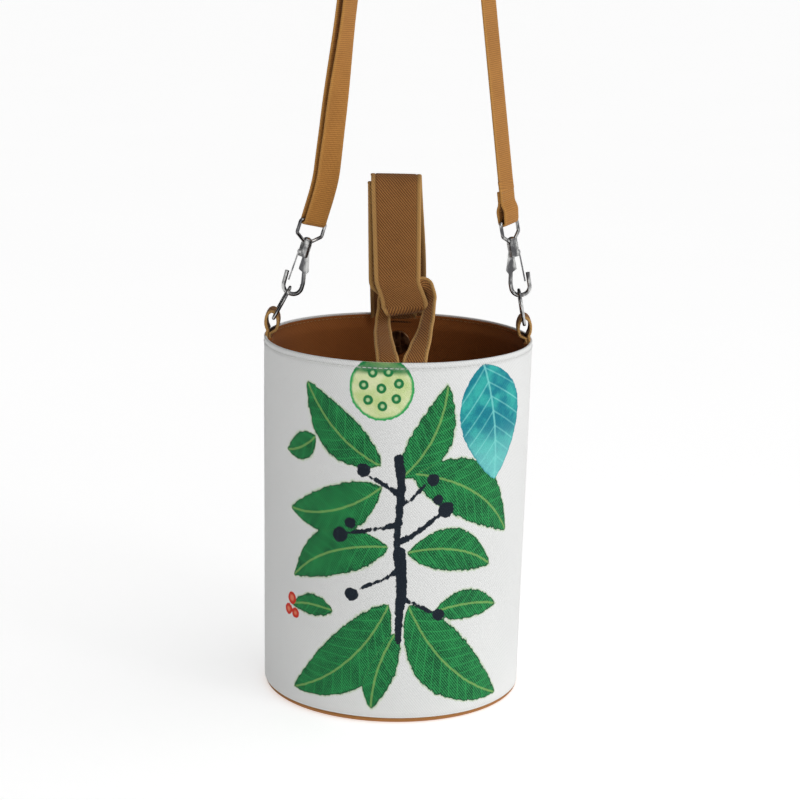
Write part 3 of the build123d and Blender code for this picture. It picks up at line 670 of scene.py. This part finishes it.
def paintPrint(angles, profile):
    far = -50.0  # outside every shape
    r = canvasShape["rimRadius"] * 1000
    wrapped = np.array([a if a <= pi else a - 2 * pi for a in angles])
    x, z = np.meshgrid(wrapped * r, np.array([p[1] * 1000 for p in profile]))
    outside = np.zeros_like(z, dtype=bool)
    outside[: canvasShape["rows"] + 4] = True
    nowhere = np.full_like(x, far)

    def discs(field, spots):
        for sx, sz, size in spots:
            field = np.maximum(field, size - np.hypot(x - sx, z - sz))
        return field

    edge, along, across = nowhere, np.zeros_like(x), np.zeros_like(x)
    for leaf in leafPrint["leaves"]:
        found = leafDistance(x, z, leaf)
        nearer = found[0] > edge
        edge, along, across = [np.where(nearer, new, old) for new, old in zip(found, (edge, along, across))]
    tealEdge, tealAlong, tealAcross = leafDistance(x, z, leafPrint["teal"])
    (px, pz), size = leafPrint["pod"]
    pod = size - np.hypot(x - px, z - pz)
    spots = []
    for ring, count, turn in ((0.0, 1, 0.0), (9.6, 7, 0.3)):
        for k in range(count):
            a = turn + 2 * pi * k / count
            spots.append((px + ring * cos(a), pz + ring * sin(a), leafPrint["seed"]))
    twig = nowhere
    for (x0, z0), (x1, z1), width in leafPrint["twigs"]:
        dx, dz = x1 - x0, z1 - z0
        share = np.clip(((x - x0) * dx + (z - z0) * dz) / (dx * dx + dz * dz), 0, 1)
        sway = 1.2 * np.sin(share * 5.0)
        gap = np.hypot(x - x0 - dx * share - sway, z - z0 - dz * share)
        twig = np.maximum(twig, width / 2 * (1.1 - 0.5 * share) - gap)
    edges = {
        "leafEdge": edge, "tealEdge": tealEdge, "podEdge": pod, "seedEdge": discs(nowhere, spots),
        "twigEdge": discs(twig, leafPrint["buds"]), "berryEdge": discs(nowhere, leafPrint["berries"]),
    }
    runs = {"leafAlong": along, "leafAcross": across, "tealAlong": tealAlong, "tealAcross": tealAcross}
    groove = np.clip(1 - np.abs(z - (canvasShape["height"] - canvasShape["stitchDrop"]) * 1000) / 0.9, 0, 1)
    groove = groove + np.clip(1 - np.abs(z - (canvasShape["hemHeight"] * 1000 + 1.2)) / 1.2, 0, 1) * 0.4
    return {
        **{label: np.where(outside, field, far).ravel() / 1000 for label, field in edges.items()},
        **{label: field.ravel() / 1000 for label, field in runs.items()},
        "groove": np.where(outside, groove, 0.0).ravel(),
    }


def makeCanvasWall():
    c = canvasShape
    front = [radians(-95 + 190 * i / c["frontSegments"]) for i in range(c["frontSegments"])]
    back = [radians(95 + 170 * i / c["backSegments"]) for i in range(c["backSegments"])]
    angles = front + back
    top, round_ = c["height"], c["rimRound"]
    profile = []
    for i in range(c["rows"] + 1):
        z = c["hemHeight"] + (top - round_ - c["hemHeight"]) * i / c["rows"]
        profile.append((wallRadius(z), z))
    for k in (30, 60, 90):
        a = radians(k)
        profile.append((c["rimRadius"] - round_ + round_ * cos(a), top - round_ + round_ * sin(a)))
    inner = c["rimRadius"] - c["lipWidth"]
    for k in (90, 120, 150, 180):
        a = radians(k)
        profile.append((inner + round_ + round_ * cos(a), top - round_ + round_ * sin(a)))
    low = top - c["lipDepth"]
    profile.append((wallRadius(low) - c["lipWidth"], low))
    profile.append((wallRadius(low) - c["thickness"], low))
    for i in range(20, -1, -1):
        z = c["hemHeight"] + (low - 0.0004 - c["hemHeight"]) * i / 20
        profile.append((wallRadius(z) - c["thickness"], z))
    profile.append(profile[0])
    paints = paintPrint(angles, profile)
    made = turnShell("canvasWall", profile, angles, moved=wobble, paints=paints)
    dress(made, canvasWhite)
    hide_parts("outer_canvas")
    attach(made, "bag")

    def onWall(angle, z):
        return roundPoint(wallRadius(z) + wobble(angle, z) + c["threadLift"], angle, z)

    paths = [[onWall(radians(i), top - c["stitchDrop"]) for i in range(361)]]
    for off in (-c["seamHalf"], c["seamHalf"]):  # the seam down the back
        a = pi + off / c["rimRadius"]
        paths.append([onWall(a, c["seamLow"] + c["seamReach"] * i / 99) for i in range(100)])
    thread = sewStitches("rimStitches", paths, c, whiteThread)
    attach(thread, "bag")


makeCanvasWall()
print("canvas wall made")

liningShape = {
    "thickness": 0.0006, "inset": 0.0029, "topInset": 0.0015, "closing": 0.1925, "floor": 0.0036,
    "top": 0.2010,
    "segments": 300, "crease": 0.00045, "bulge": 0.0014, "stitchDrop": 0.0016, "closed": 0.2000,
    "fade": 0.0025, "rise": 0.0060, "corner": 0.0025,
    "stitchPitch": 0.0029, "stitchLength": 0.0022, "stitchThickness": 0.00036,
    "straps": ((0.0, 0.0145), (pi, 0.0175), (pi / 2, 0.0085), (-pi / 2, 0.0085)),  # where a strap is sewn in
}


def liningInset(z):  # the lining closes on the canvas near the rim
    s = liningShape
    share = clamp((z - s["closing"]) / (s["closed"] - s["closing"]))
    return s["inset"] + (s["topInset"] - s["inset"]) * ease(share)


def overStrap(angle):  # 1 where a strap's end lies under the lining
    best, fade = 0.0, liningShape["fade"]
    for middle, half in liningShape["straps"]:
        away = abs((angle - middle + pi) % (2 * pi) - pi) * canvasShape["rimRadius"]
        best = max(best, clamp((half + fade - away) / fade))
    return ease(best)


def liningPush(angle, z):
    s = liningShape
    depth = s["crease"] * max(0.0, 1 - abs(z - 0.10) / 0.1)
    crease = depth * (0.5 + 0.5 * sin(7 * angle + 3 * sin(z * 37) + 1.3))
    crease *= 0.6 + 0.4 * sin(z * 61 + 2 * angle)
    share = clamp((z - s["closing"]) / s["rise"])
    return -crease - (s["inset"] - liningInset(z) + s["bulge"] * share) * overStrap(angle)


def makeLining():
    s = liningShape
    angles = [2 * pi * i / s["segments"] for i in range(s["segments"])]
    full = s["inset"] + s["thickness"]
    profile = [(0.0, s["floor"])]
    for r in (0.012, 0.024, 0.036, 0.048, 0.058, 0.065):
        profile.append((r, s["floor"] + 0.0001))
    edge, bend = wallRadius(s["floor"]) - full, s["corner"]
    for k in range(0, 91, 30):
        a = radians(k)
        profile.append((edge - bend + bend * sin(a), s["floor"] + bend - bend * cos(a)))
    heights = [s["floor"] + bend + (s["closing"] - s["floor"] - bend) * i / 50 for i in range(1, 51)]
    heights += [s["closing"] + (s["top"] - 0.0003 - s["closing"]) * i / 10 for i in range(1, 11)]
    profile += [(wallRadius(z) - liningInset(z) - s["thickness"], z) for z in heights]
    profile.append((wallRadius(s["top"]) - liningInset(s["top"]) - s["thickness"] / 2, s["top"]))
    profile += [(wallRadius(z) - liningInset(z), z) for z in reversed(heights)]
    profile.append((wallRadius(s["floor"]) - s["inset"], s["floor"] - s["thickness"]))
    profile.append((0.0, s["floor"] - s["thickness"]))
    made = turnShell("lining", profile, angles, moved=liningPush)
    dress(made, liningTwill)
    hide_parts("lining_wall", "lining_floor")
    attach(made, "bag")

    z = s["top"] - s["stitchDrop"]
    r = wallRadius(z) - liningInset(z) - s["thickness"]
    path = [roundPoint(r + liningPush(radians(i), z), radians(i), z) for i in range(361)]
    thread = sewStitches("liningStitches", [path], s, tanThread)
    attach(thread, "bag")


def makeStiffener():  # the foam sleeve, pared thin at the rim
    c, s = canvasShape, liningShape
    angles = [2 * pi * i / 180 for i in range(180)]
    low, high = 0.0125, 0.1990
    heights = [low + (high - low) * i / 60 for i in range(61)]
    outer = [(wallRadius(z) - c["thickness"] - 0.0001, z) for z in heights]
    inner = [(min(wallRadius(z) - liningInset(z) + 0.0001, r - 0.0003), z) for r, z in outer]
    profile = outer + inner[::-1] + [outer[0]]
    made = turnShell("wallStiffener", profile, angles)
    dress(made, foam)
    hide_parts("wall_stiffener")
    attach(made, "bag")


makeLining()
makeStiffener()

baseShape = {"thickness": 0.0010, "edge": 0.0032, "seamTop": 0.0120, "segments": 240, "hemGap": 0.0003}


def makeBase():
    s, c = baseShape, canvasShape
    angles = [2 * pi * i / s["segments"] for i in range(s["segments"])]
    out = c["hemRadius"] - s["hemGap"]
    profile = [(0.0, 0.0)]
    for r in (0.010, 0.020, 0.030, 0.040, 0.050, 0.060, 0.066):
        profile.append((r, 0.0))
    for k in range(0, 91, 15):
        a = radians(k)
        profile.append((out - s["edge"] + s["edge"] * sin(a), s["edge"] - s["edge"] * cos(a)))
    seam = c["hemRadius"] - c["thickness"]
    profile += [(seam, s["edge"]), (seam, c["hemHeight"])]
    for i in (1, 2, 3):
        z = c["hemHeight"] + (s["seamTop"] - c["hemHeight"]) * i / 3
        profile.append((wallRadius(z) - c["thickness"], z))
    profile.append((wallRadius(s["seamTop"]) - c["thickness"] - s["thickness"], s["seamTop"]))
    profile.append((seam - s["thickness"], s["thickness"]))
    profile.append((0.0, s["thickness"]))
    made = turnShell("basePanel", profile, angles)
    dress(made, baseTwill)
    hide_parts("base_panel")
    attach(made, "bag")


makeBase()
print("lining and base made")


handleShape = {
    "thickness": 0.0017, "halfWidth": 0.0140, "foldHalfWidth": 0.0128, "neckHalfWidth": 0.0092,
    "spacing": 0.0044, "x": -0.0029, "lean": 0.0022, "slimming": 0.0016,
    "apex": (-0.0050, 0.2956), "fold": (-0.0360, 0.2240), "foot": (0.0709, 0.2020), "bend": 0.0060,
    "stitchInsets": (0.0027,), "grooveDepth": 0.00030, "puff": 0.00010, "foldTilt": 18.5, "foldShift": 0.0042,
    "stitchPitch": 0.0027, "stitchLength": 0.0022, "stitchThickness": 0.00045,
    "innerShift": -0.0019, "backShift": 0.0046, "backSwell": 0.0022, "wallRadius": 0.0729,
    "foldReach": 0.016, "frontReach": 0.064, "neckReach": 0.011, "footReach": 0.020, "innerTrim": 0.0003,
    "outerFoot": (0.0729, 0.1960), "innerFoot": (0.0714, 0.1965), "sink": 0.00018,
}


def handleMiddle(values, step=0.0016):
    # the middle line between the plies, from the back rim over the top to the closed end, as (y, z, tangent)
    foot, apex, fold = (Vector((0, *values[k])) for k in ("foot", "apex", "fold"))
    up, down = (apex - foot).normalized(), (fold - apex).normalized()
    turn = up.angle(down)
    cut = values["bend"] * np.tan(turn / 2)
    start, end = apex - up * cut, apex + down * cut
    line = []
    count = int((start - foot).length / step)
    line += [(foot.lerp(start, i / count), up) for i in range(count)]
    inward = (down - up).normalized()
    middle = apex + inward * (values["bend"] / cos(turn / 2))
    steps = 12
    for i in range(steps + 1):
        way = up.slerp(down, i / steps) if 0 < i < steps else (up if i == 0 else down)
        side = way.cross(Vector((1, 0, 0)))
        if side.dot(inward) < 0:
            side = -side
        line.append((middle - side * values["bend"], way))
    count = int((fold - end).length / step)
    line += [(end.lerp(fold, i / count), down) for i in range(1, count + 1)]
    return line


def outward(way):  # away from the hand gap, for a tangent that runs from back to front
    return Vector((0, way.z, -way.y))


def handleRows():
    v = handleShape
    line = handleMiddle(v)
    half = v["spacing"] / 2
    foot, fold = line[0][0], line[-1][0]
    length = len(line)
    apexAt = min(range(length), key=lambda i: -line[i][0].z)

    def shaping(i, inner):
        point = line[i][0]
        above = (fold - point).length
        smooth = ease(max(0.0, 1 - above / v["foldReach"])) if i > apexAt else 0.0
        back = max(0.0, (point.y + 0.005) / 0.076) if i < apexAt else 0.0
        front = clamp((v["apex"][1] - point.z) / v["frontReach"]) if i > apexAt else 0.0
        x = v["x"] + v["lean"] * front + v["foldShift"] * smooth
        if inner:
            x += v["innerShift"] * (1 - smooth) * (1 - back)
            neck = max(0.0, 1 - above / v["neckReach"]) if i > apexAt else 0.0
            return x, v["halfWidth"] + (v["neckHalfWidth"] - v["halfWidth"]) * min(1.0, 1.6 * neck), 0.0
        x += v["backShift"] * back + v["backSwell"] * sin(pi * back) * back
        width = v["halfWidth"] - v["slimming"] * front
        width += (v["foldHalfWidth"] - width) * smooth
        return x, width, radians(v["foldTilt"]) * smooth

    def across(tilt, way):
        width = Vector((cos(tilt), 0, sin(tilt)))
        return squareTo(width, way)

    footX = v["x"] + v["backShift"]
    level = Vector((1, 0, 0))
    outerFoot = Vector((footX, *v["outerFoot"]))
    rows = [(outerFoot, Vector((0, -0.1, 1)).normalized(), level, v["halfWidth"])]
    for i in range(1, length):
        point, way = line[i]
        x, width, tilt = shaping(i, False)
        rows.append((point + outward(way) * half + Vector((x, 0, 0)), way, across(tilt, way), width))
    way = line[-1][1]
    xOut, widthOut, tilt = shaping(length - 1, False)
    xIn, widthIn, _ = shaping(length - 1, True)
    for k in range(1, 8):
        share = k / 8
        a = pi * share
        x = xOut + (xIn - xOut) * share
        width = widthOut + (widthIn - widthOut) * min(1.0, share * 1.4)
        side = outward(way)
        spot = fold + side * (half * cos(a)) + way * (half * sin(a)) + Vector((x, 0, 0))
        tangent = way * cos(a) - side * sin(a)
        rows.append((spot, tangent, across(tilt * (1 - share), tangent), width))
    for i in range(length - 1, 0, -1):
        point, way = line[i]
        x, width, tilt = shaping(i, True)
        near = ease(max(0.0, 1 - (point - foot).length / v["footReach"]))
        offset = -half + (half + 0.0004) * near  # the plies close up at the foot
        spot = point + outward(way) * offset + Vector((x, 0, 0))
        rows.append((spot, -way, across(tilt, -way), width - v["innerTrim"]))
    innerFoot = Vector((v["x"], *v["innerFoot"]))
    rows.append((innerFoot, Vector((0, 0.1, -1)).normalized(), level, v["halfWidth"] - v["innerTrim"]))
    return rows


def edgePaths(rows, inset, lift, start, stop):
    # two lines on a strap's face, for its stitches
    paths = []
    for side in (-1, 1):
        path = []
        for point, way, width, half in rows[start:stop]:
            out = width.cross(way).normalized()
            path.append(point + width * (side * (half - inset)) + out * lift)
        paths.append(path)
    return paths


def bendToWall(made):  # a strap's foot follows the round wall that it is sewn into
    r = handleShape["wallRadius"]
    for vertex in made.data.vertices:
        x, y, z = vertex.co
        share = clamp((0.2130 - z) / 0.0100)
        drop = (r - (r * r - x * x) ** 0.5) * ease(share)
        vertex.co.y = y - drop if y > 0 else y + drop


def makeHandle():
    v = handleShape
    rows = handleRows()
    made = buildStrap("carryHandle", rows, v)
    dress(made, strapTwill)
    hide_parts("carry_handle", "handle_sewn_end")
    lift = v["thickness"] / 2 - v["sink"]
    turn = next(i for i, row in enumerate(rows) if row[1].z > 0 and i > len(rows) // 3)
    paths = edgePaths(rows, v["stitchInsets"][0], lift, 2, turn - 6)
    paths += edgePaths(rows, v["stitchInsets"][0], lift, turn + 6, len(rows) - 2)
    thread = sewStitches("handleStitches", paths, v, tanThread)
    for piece in (made, thread):
        bendToWall(piece)
        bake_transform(piece)


makeHandle()

tabShape = {
    "thickness": 0.0016, "sink": 0.00015,
    # each leg from the rim up to the bridge: middle, half width, turn of the width about the leg
    "left": [((-0.0048, 0.1960), 0.0062, 0), ((-0.0050, 0.2020), 0.0061, 0), ((-0.0064, 0.2068), 0.0056, 2),
             ((-0.0080, 0.2118), 0.0050, 0), ((-0.0084, 0.2172), 0.0042, 0), ((-0.0078, 0.2236), 0.0038, 0)],
    "right": [((0.0090, 0.1960), 0.0066, 0), ((0.0093, 0.2020), 0.0065, 0), ((0.0113, 0.2080), 0.0058, 10),
              ((0.0150, 0.2180), 0.0050, 34), ((0.0172, 0.2285), 0.0046, 48)],
    "leftDepths": (-0.0727, -0.0723, -0.0640, -0.0480, -0.0345, -0.0322),  # how far forward each point is
    "rightDepths": (-0.0727, -0.0723, -0.0655, -0.0500, -0.0372),
    "bridge": [((-0.0062, -0.0322, 0.2312), 18.0), ((0.0020, -0.0322, 0.2338), 18.0),
               ((0.0118, -0.0325, 0.2372), 20.0)],
    "bridgeHalf": 0.0040,
    "stitchInsets": (0.0019,), "grooveDepth": 0.00024, "puff": 0.00008,
    "stitchPitch": 0.0027, "stitchLength": 0.0022, "stitchThickness": 0.00042,
}


def tabLeg(side):
    v = tabShape
    points = [Vector((x, y, z)) for ((x, z), _, _), y in zip(v[side], v[side + "Depths"])]
    turning = 1 if side == "right" else -1
    leg = []
    for i, (_, half, turn) in enumerate(v[side]):
        way = wayAt(points, i)
        level = Vector((1, 0, 0))
        level = squareTo(level, way)
        forward = level.cross(way)
        a = radians(turn) * turning
        leg.append((points[i], way, level * cos(a) + forward * sin(a), half))
    return leg


def makeTab():
    v, h = tabShape, handleShape
    plyUp = (Vector((0, *h["apex"])) - Vector((0, *h["fold"]))).normalized()
    bridge = []
    for point, tilt in v["bridge"]:
        head = (Vector((cos(radians(tilt)), 0, 0)) + plyUp * sin(radians(tilt))).normalized()
        bridge.append((Vector(point), head, (-plyUp - head * -plyUp.dot(head)).normalized(), v["bridgeHalf"]))
    down = [(point, -way, -width, half) for point, way, width, half in reversed(tabLeg("right"))]
    rows = densify([*tabLeg("left"), *bridge, *down], 0.0012)
    made = buildStrap("slitTab", rows, v)
    dress(made, strapTwill)
    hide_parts("slit_tab", "tab_sewn_end")
    third = len(rows) // 3
    lift = v["thickness"] / 2 - v["sink"]
    paths = edgePaths(rows, v["stitchInsets"][0], lift, 3, third)
    paths += edgePaths(rows, v["stitchInsets"][0], lift, len(rows) - third, len(rows) - 3)
    thread = sewStitches("tabStitches", paths, v, tanThread)
    for piece in (made, thread):
        bendToWall(piece)
        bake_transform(piece)


makeTab()
print("handle and slit tab made")


ringTabShape = {
    "thickness": 0.0016, "halfWidth": 0.0075, "loopHalfWidth": 0.0034, "loopHalfHeight": 0.0060,
    "loopX": 0.0703, "loopZ": {"left": 0.2095, "right": 0.2089},
    "outerLeg": [(0.0729, 0.1960), (0.0729, 0.2000), (0.0730, 0.2030)],
    "innerLeg": [(0.0713, 0.2030), (0.0713, 0.2000), (0.0713, 0.1960)],
    "stitchInsets": (0.0018,), "grooveDepth": 0.0002, "puff": 0.00008, "sink": 0.00012,
    "stitchPitch": 0.0024, "stitchLength": 0.0019, "stitchThickness": 0.0004,
}


def makeRingTab(side):
    v = ringTabShape
    out = -1 if side == "left" else 1
    centre = v["loopZ"][side]
    loop = []
    for k in range(-48, 229, 6):
        a = radians(k)
        loop.append((v["loopX"] + v["loopHalfWidth"] * cos(a), centre + v["loopHalfHeight"] * sin(a)))
    path = [Vector((x * out, 0, z)) for x, z in [*v["outerLeg"], *loop, *v["innerLeg"]]]
    rows = []
    for i, point in enumerate(path):
        way = wayAt(path, i)
        rows.append((point, way, Vector((0, -out, 0)), v["halfWidth"]))
    made = buildStrap("ringTab_" + side, rows, v)
    dress(made, strapTwill)
    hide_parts("ring_tab_" + side)
    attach(made, "bag")
    lift = v["thickness"] / 2 - v["sink"]
    paths = edgePaths(rows, v["stitchInsets"][0], lift, 3, len(rows) - 3)
    paths += edgePaths(rows, v["stitchInsets"][0], -lift, 3, len(rows) - 3)
    thread = sewStitches("ringTabStitches_" + side, paths, v, tanThread)
    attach(thread, "bag")


for side in ("left", "right"):
    makeRingTab(side)


webbingShape = {
    "thickness": 0.0013, "halfWidth": 0.0075, "wrap": 0.00195, "eyeHeight": 0.0120,
    "stitchInsets": (), "grooveDepth": 0.0, "puff": 0.00006,
    "turn": {"left": 38.0, "right": 57.0},
    "leftRun": [((-0.0408, 0, 0.2950), 38.0), ((-0.0380, 0, 0.3210), 43.0), ((-0.0333, 0, 0.3650), 62.0)],
    "rightRun": [((0.0574, 0, 0.2905), 57.0), ((0.0451, 0, 0.3876), 58.0)],
    "strapTurn": 62.0, "archStart": 0.4280, "bulge": 0.0023, "merge": 0.00072, "stitched": 0.0110,
    "endLength": 0.0170, "sliderHeight": 0.4120, "sliderLow": 0.3820, "sliderHigh": 0.4240,
    "endDrop": 0.02115, "boxEnds": (0.0118, 0.0162), "boxHalf": 0.0058,
    # the end on the slider: its gap to the strap, the slider's bar, and how far its tail hangs
    "barGap": 0.0005, "barHalf": 0.0010, "barRound": 0.00125, "tailGap": 0.0006, "tailBend": (0.0003, 0.0025),
    "tail": (0.0258, 0.022, 0.017, 0.012, 0.008, 0.005),
    "stitchPitch": 0.0022, "stitchLength": 0.0018, "stitchThickness": 0.00045,
}


def collarOf(side):  # the swivel joint's own point and axis
    joint = next(j for j in frame["record"]["behaviour"]["joints"] if j["name"] == "swivel_" + side)
    return Vector(joint["pos_m"]), Vector(joint["axis"]).normalized()


def eyePlace(side, towards):
    v = webbingShape
    collar, up = collarOf(side)
    turn = radians(v["turn"][side])
    bar = Vector((cos(turn), sin(turn), 0))
    bar = squareTo(bar, up)
    middle = collar + up * v["eyeHeight"]
    rise = Vector(towards) - middle
    rise = squareTo(rise, bar)
    return middle, rise, bar, bar.cross(rise)


def faceOf(way, turn):
    width = Vector((cos(radians(turn)), sin(radians(turn)), 0))
    width = squareTo(width, way)
    return width.cross(way)


def webbingSections():
    v = webbingShape
    half = v["halfWidth"]

    def section(point, tangent, turn):
        tangent = Vector(tangent).normalized()
        width = Vector((cos(radians(turn)), sin(radians(turn)), 0))
        return Vector(point), tangent, squareTo(width, tangent), half

    def onLine(start, way, height):
        return start + way * ((height - start.z) / way.z)

    def roundBar(eye, forward):  # half a turn round the hook's eye bar
        middle, rise, bar, face = eye
        for k in range(7):
            a = pi - pi * k / 6 if forward > 0 else pi * k / 6
            spot = middle + (face * cos(a) - rise * sin(a)) * v["wrap"]
            rows.append((spot, (face * sin(a) + rise * cos(a)) * forward, bar, half))

    rows = []
    eye = eyePlace("right", v["rightRun"][0][0])
    middle, rise, bar, face = eye
    ends = ((v["endLength"], v["merge"]), (v["stitched"], v["merge"]), (v["stitched"] / 2, v["bulge"]))
    for along, away in ends:
        rows.append((middle + rise * along - face * away, -rise, bar, half))
    roundBar(eye, 1)
    for along, away in reversed(ends):
        rows.append((middle + rise * along + face * away, rise, bar, half))
    low, high = (Vector(run[0]) for run in v["rightRun"])
    way = (high - low).normalized()
    rows.append(section(low, way, v["rightRun"][0][1]))
    rows.append(section(high, way, v["rightRun"][1][1]))
    leftHigh = Vector(v["leftRun"][2][0])
    leftWay = (leftHigh - Vector(v["leftRun"][1][0])).normalized()
    running = faceOf(leftWay, v["strapTurn"]) * v["wrap"]
    archLeft = onLine(leftHigh, leftWay, v["archStart"]) + running
    archRight = onLine(high, way, v["archStart"])
    centre = (archLeft + archRight) / 2
    radius = (archRight - archLeft).x / 2
    rows.append(section(archRight, (0, 0, 1), v["strapTurn"]))
    for k in range(1, 12):
        share = k / 12
        a = pi * share
        twist = v["strapTurn"] + (90 - v["strapTurn"]) * min(1, 4 * share, 4 * (1 - share))
        y = archRight.y + (archLeft.y - archRight.y) * share
        point = (centre.x + radius * cos(a), y, centre.z + radius * sin(a))
        rows.append(section(point, (-sin(a), 0, cos(a)), twist))
    rows.append(section(archLeft, (0, 0, -1), v["strapTurn"]))
    heights = (v["sliderHigh"], v["sliderLow"])
    down = [(onLine(leftHigh, leftWay, z), leftWay, v["strapTurn"]) for z in heights]
    down += [(Vector(p), leftWay, turn) for p, turn in reversed(v["leftRun"][:2])]
    for point, way, turn in down:
        rows.append(section(point + faceOf(way, turn) * v["wrap"], -way, turn))
    roundBar(eyePlace("left", v["leftRun"][0][0]), -1)
    for point, way, turn in reversed(down[1:]):
        rows.append(section(point - faceOf(way, turn) * v["wrap"], way, turn))
    sliderPoint = onLine(leftHigh, leftWay, v["sliderHeight"])
    rows.append(section(sliderPoint - leftWay * v["endDrop"] - running, leftWay, v["strapTurn"]))
    return rows, sliderPoint, leftWay, running


def makeWebbing():
    v = webbingShape
    sections, sliderPoint, leftWay, running = webbingSections()
    rows = densify(sections, 0.0016)
    made = buildStrap("shoulderWebbing", rows, v)
    dress(made, webbingWeave)
    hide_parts("shoulder_webbing")
    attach(made, "strap")
    middle, rise, bar, face = eyePlace("right", v["rightRun"][0][0])
    (low, high), edge = v["boxEnds"], v["boxHalf"]
    box = ((low, -edge), (high, -edge), (high, edge), (low, edge), (low, -edge))
    paths = []
    for side in (1, -1):  # a box of stitches through the sewn end
        lift = face * (side * (v["merge"] + v["thickness"] / 2 - 0.0001))
        corners = [middle + rise * along + bar * x + lift for along, x in box]
        paths += [[a, b] for a, b in zip(corners, corners[1:])]
    thread = sewStitches("webbingStitches", paths, v, tanThread)
    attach(thread, "strap")

    back = -faceOf(leftWay, v["strapTurn"])  # the end that goes round the slider's bar
    origin = sliderPoint + running
    barY = v["thickness"] * 1.5 + v["barGap"] + v["barHalf"]
    tailY = 2 * v["wrap"] + v["thickness"] + v["tailGap"]
    sewn = v["barRound"] + v["thickness"] / 2
    path = [origin + back * tailY - leftWay * d for d in v["tail"]]
    path.append(origin + back * (tailY - v["tailBend"][0]) - leftWay * v["tailBend"][1])
    for k in range(30, 301, 15):
        a = radians(k)
        path.append(origin + back * (barY + sewn * cos(a)) + leftWay * (sewn * sin(a)))
    rowsEnd = []
    for i, point in enumerate(path):
        way = wayAt(path, i)
        rowsEnd.append((point, way, rows[-1][2], v["halfWidth"] - 0.0001))
    end = buildStrap("sliderWebbingEnd", rowsEnd, v)
    dress(end, webbingWeave)
    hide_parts("webbing_sewn_end")
    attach(end, "slider")


makeWebbing()
print("ring tabs and webbing made")


floorMesh = bpy.data.meshes.new("studioFloor")
f = studio["floorHalf"]
floorMesh.from_pydata([(-f, -f, 0), (f, -f, 0), (f, f, 0), (-f, f, 0)], [], [(0, 1, 2, 3)])
floor = addObject("studioFloor", floorMesh)
dress(floor, makeFloor("paleFloor"))


def makeSky():  # one broad soft light from the right, dim on the left, pale at the horizon
    v = studio
    world = bpy.data.worlds.new("softRoom")
    bpy.context.scene.world = world
    world.use_nodes = True
    writer = NodeWriter(world.node_tree)
    x, y, z = writer.split(writer.node("ShaderNodeTexCoord", {}, {}, "Generated"))
    towards = x * v["glowWay"][0] + y * v["glowWay"][1] + z * v["glowWay"][2]
    light = towards.ramp(*v["glowSpread"]) * v["glow"] + v["dim"]
    level = (1.0 - abs(z).ramp(0.06, 0.20)) * v["horizon"]
    backdrop = world.node_tree.nodes["Background"]
    backdrop.inputs["Color"].default_value = (1, 1, 1, 1)
    writer.feed(backdrop.inputs["Strength"], light.most(level))


makeSky()


def addLight(name, place, aim, power, size):
    data = bpy.data.lights.new(name, "AREA")
    data.energy, data.size = power, size
    made = addObject(name, data)
    made.location = place
    made.rotation_euler = (Vector(aim) - Vector(place)).to_track_quat("-Z", "Y").to_euler()


addLight("keyRight", (0.95, -0.75, 0.80), (0, 0, 0.18), 1.3, 0.30)
addLight("topSoft", (0.05, 0.10, 1.60), (0, 0, 0.2), 0.25, 0.5)

cameraData = bpy.data.cameras.new("camera")
cameraData.lens, cameraData.sensor_width = studio["lens"], 36.0
cameraData.clip_start, cameraData.clip_end = 0.05, 50.0
camera = addObject("camera", cameraData)
camera.matrix_world = (
    Matrix.Translation(studio["eye"])
    @ Matrix.Rotation(radians(90 - studio["down"]), 4, "X")
    @ Matrix.Rotation(radians(studio["roll"]), 4, "Z")
)
bpy.context.scene.camera = camera
bpy.context.scene.view_settings.view_transform = "Standard"
print("studio set")
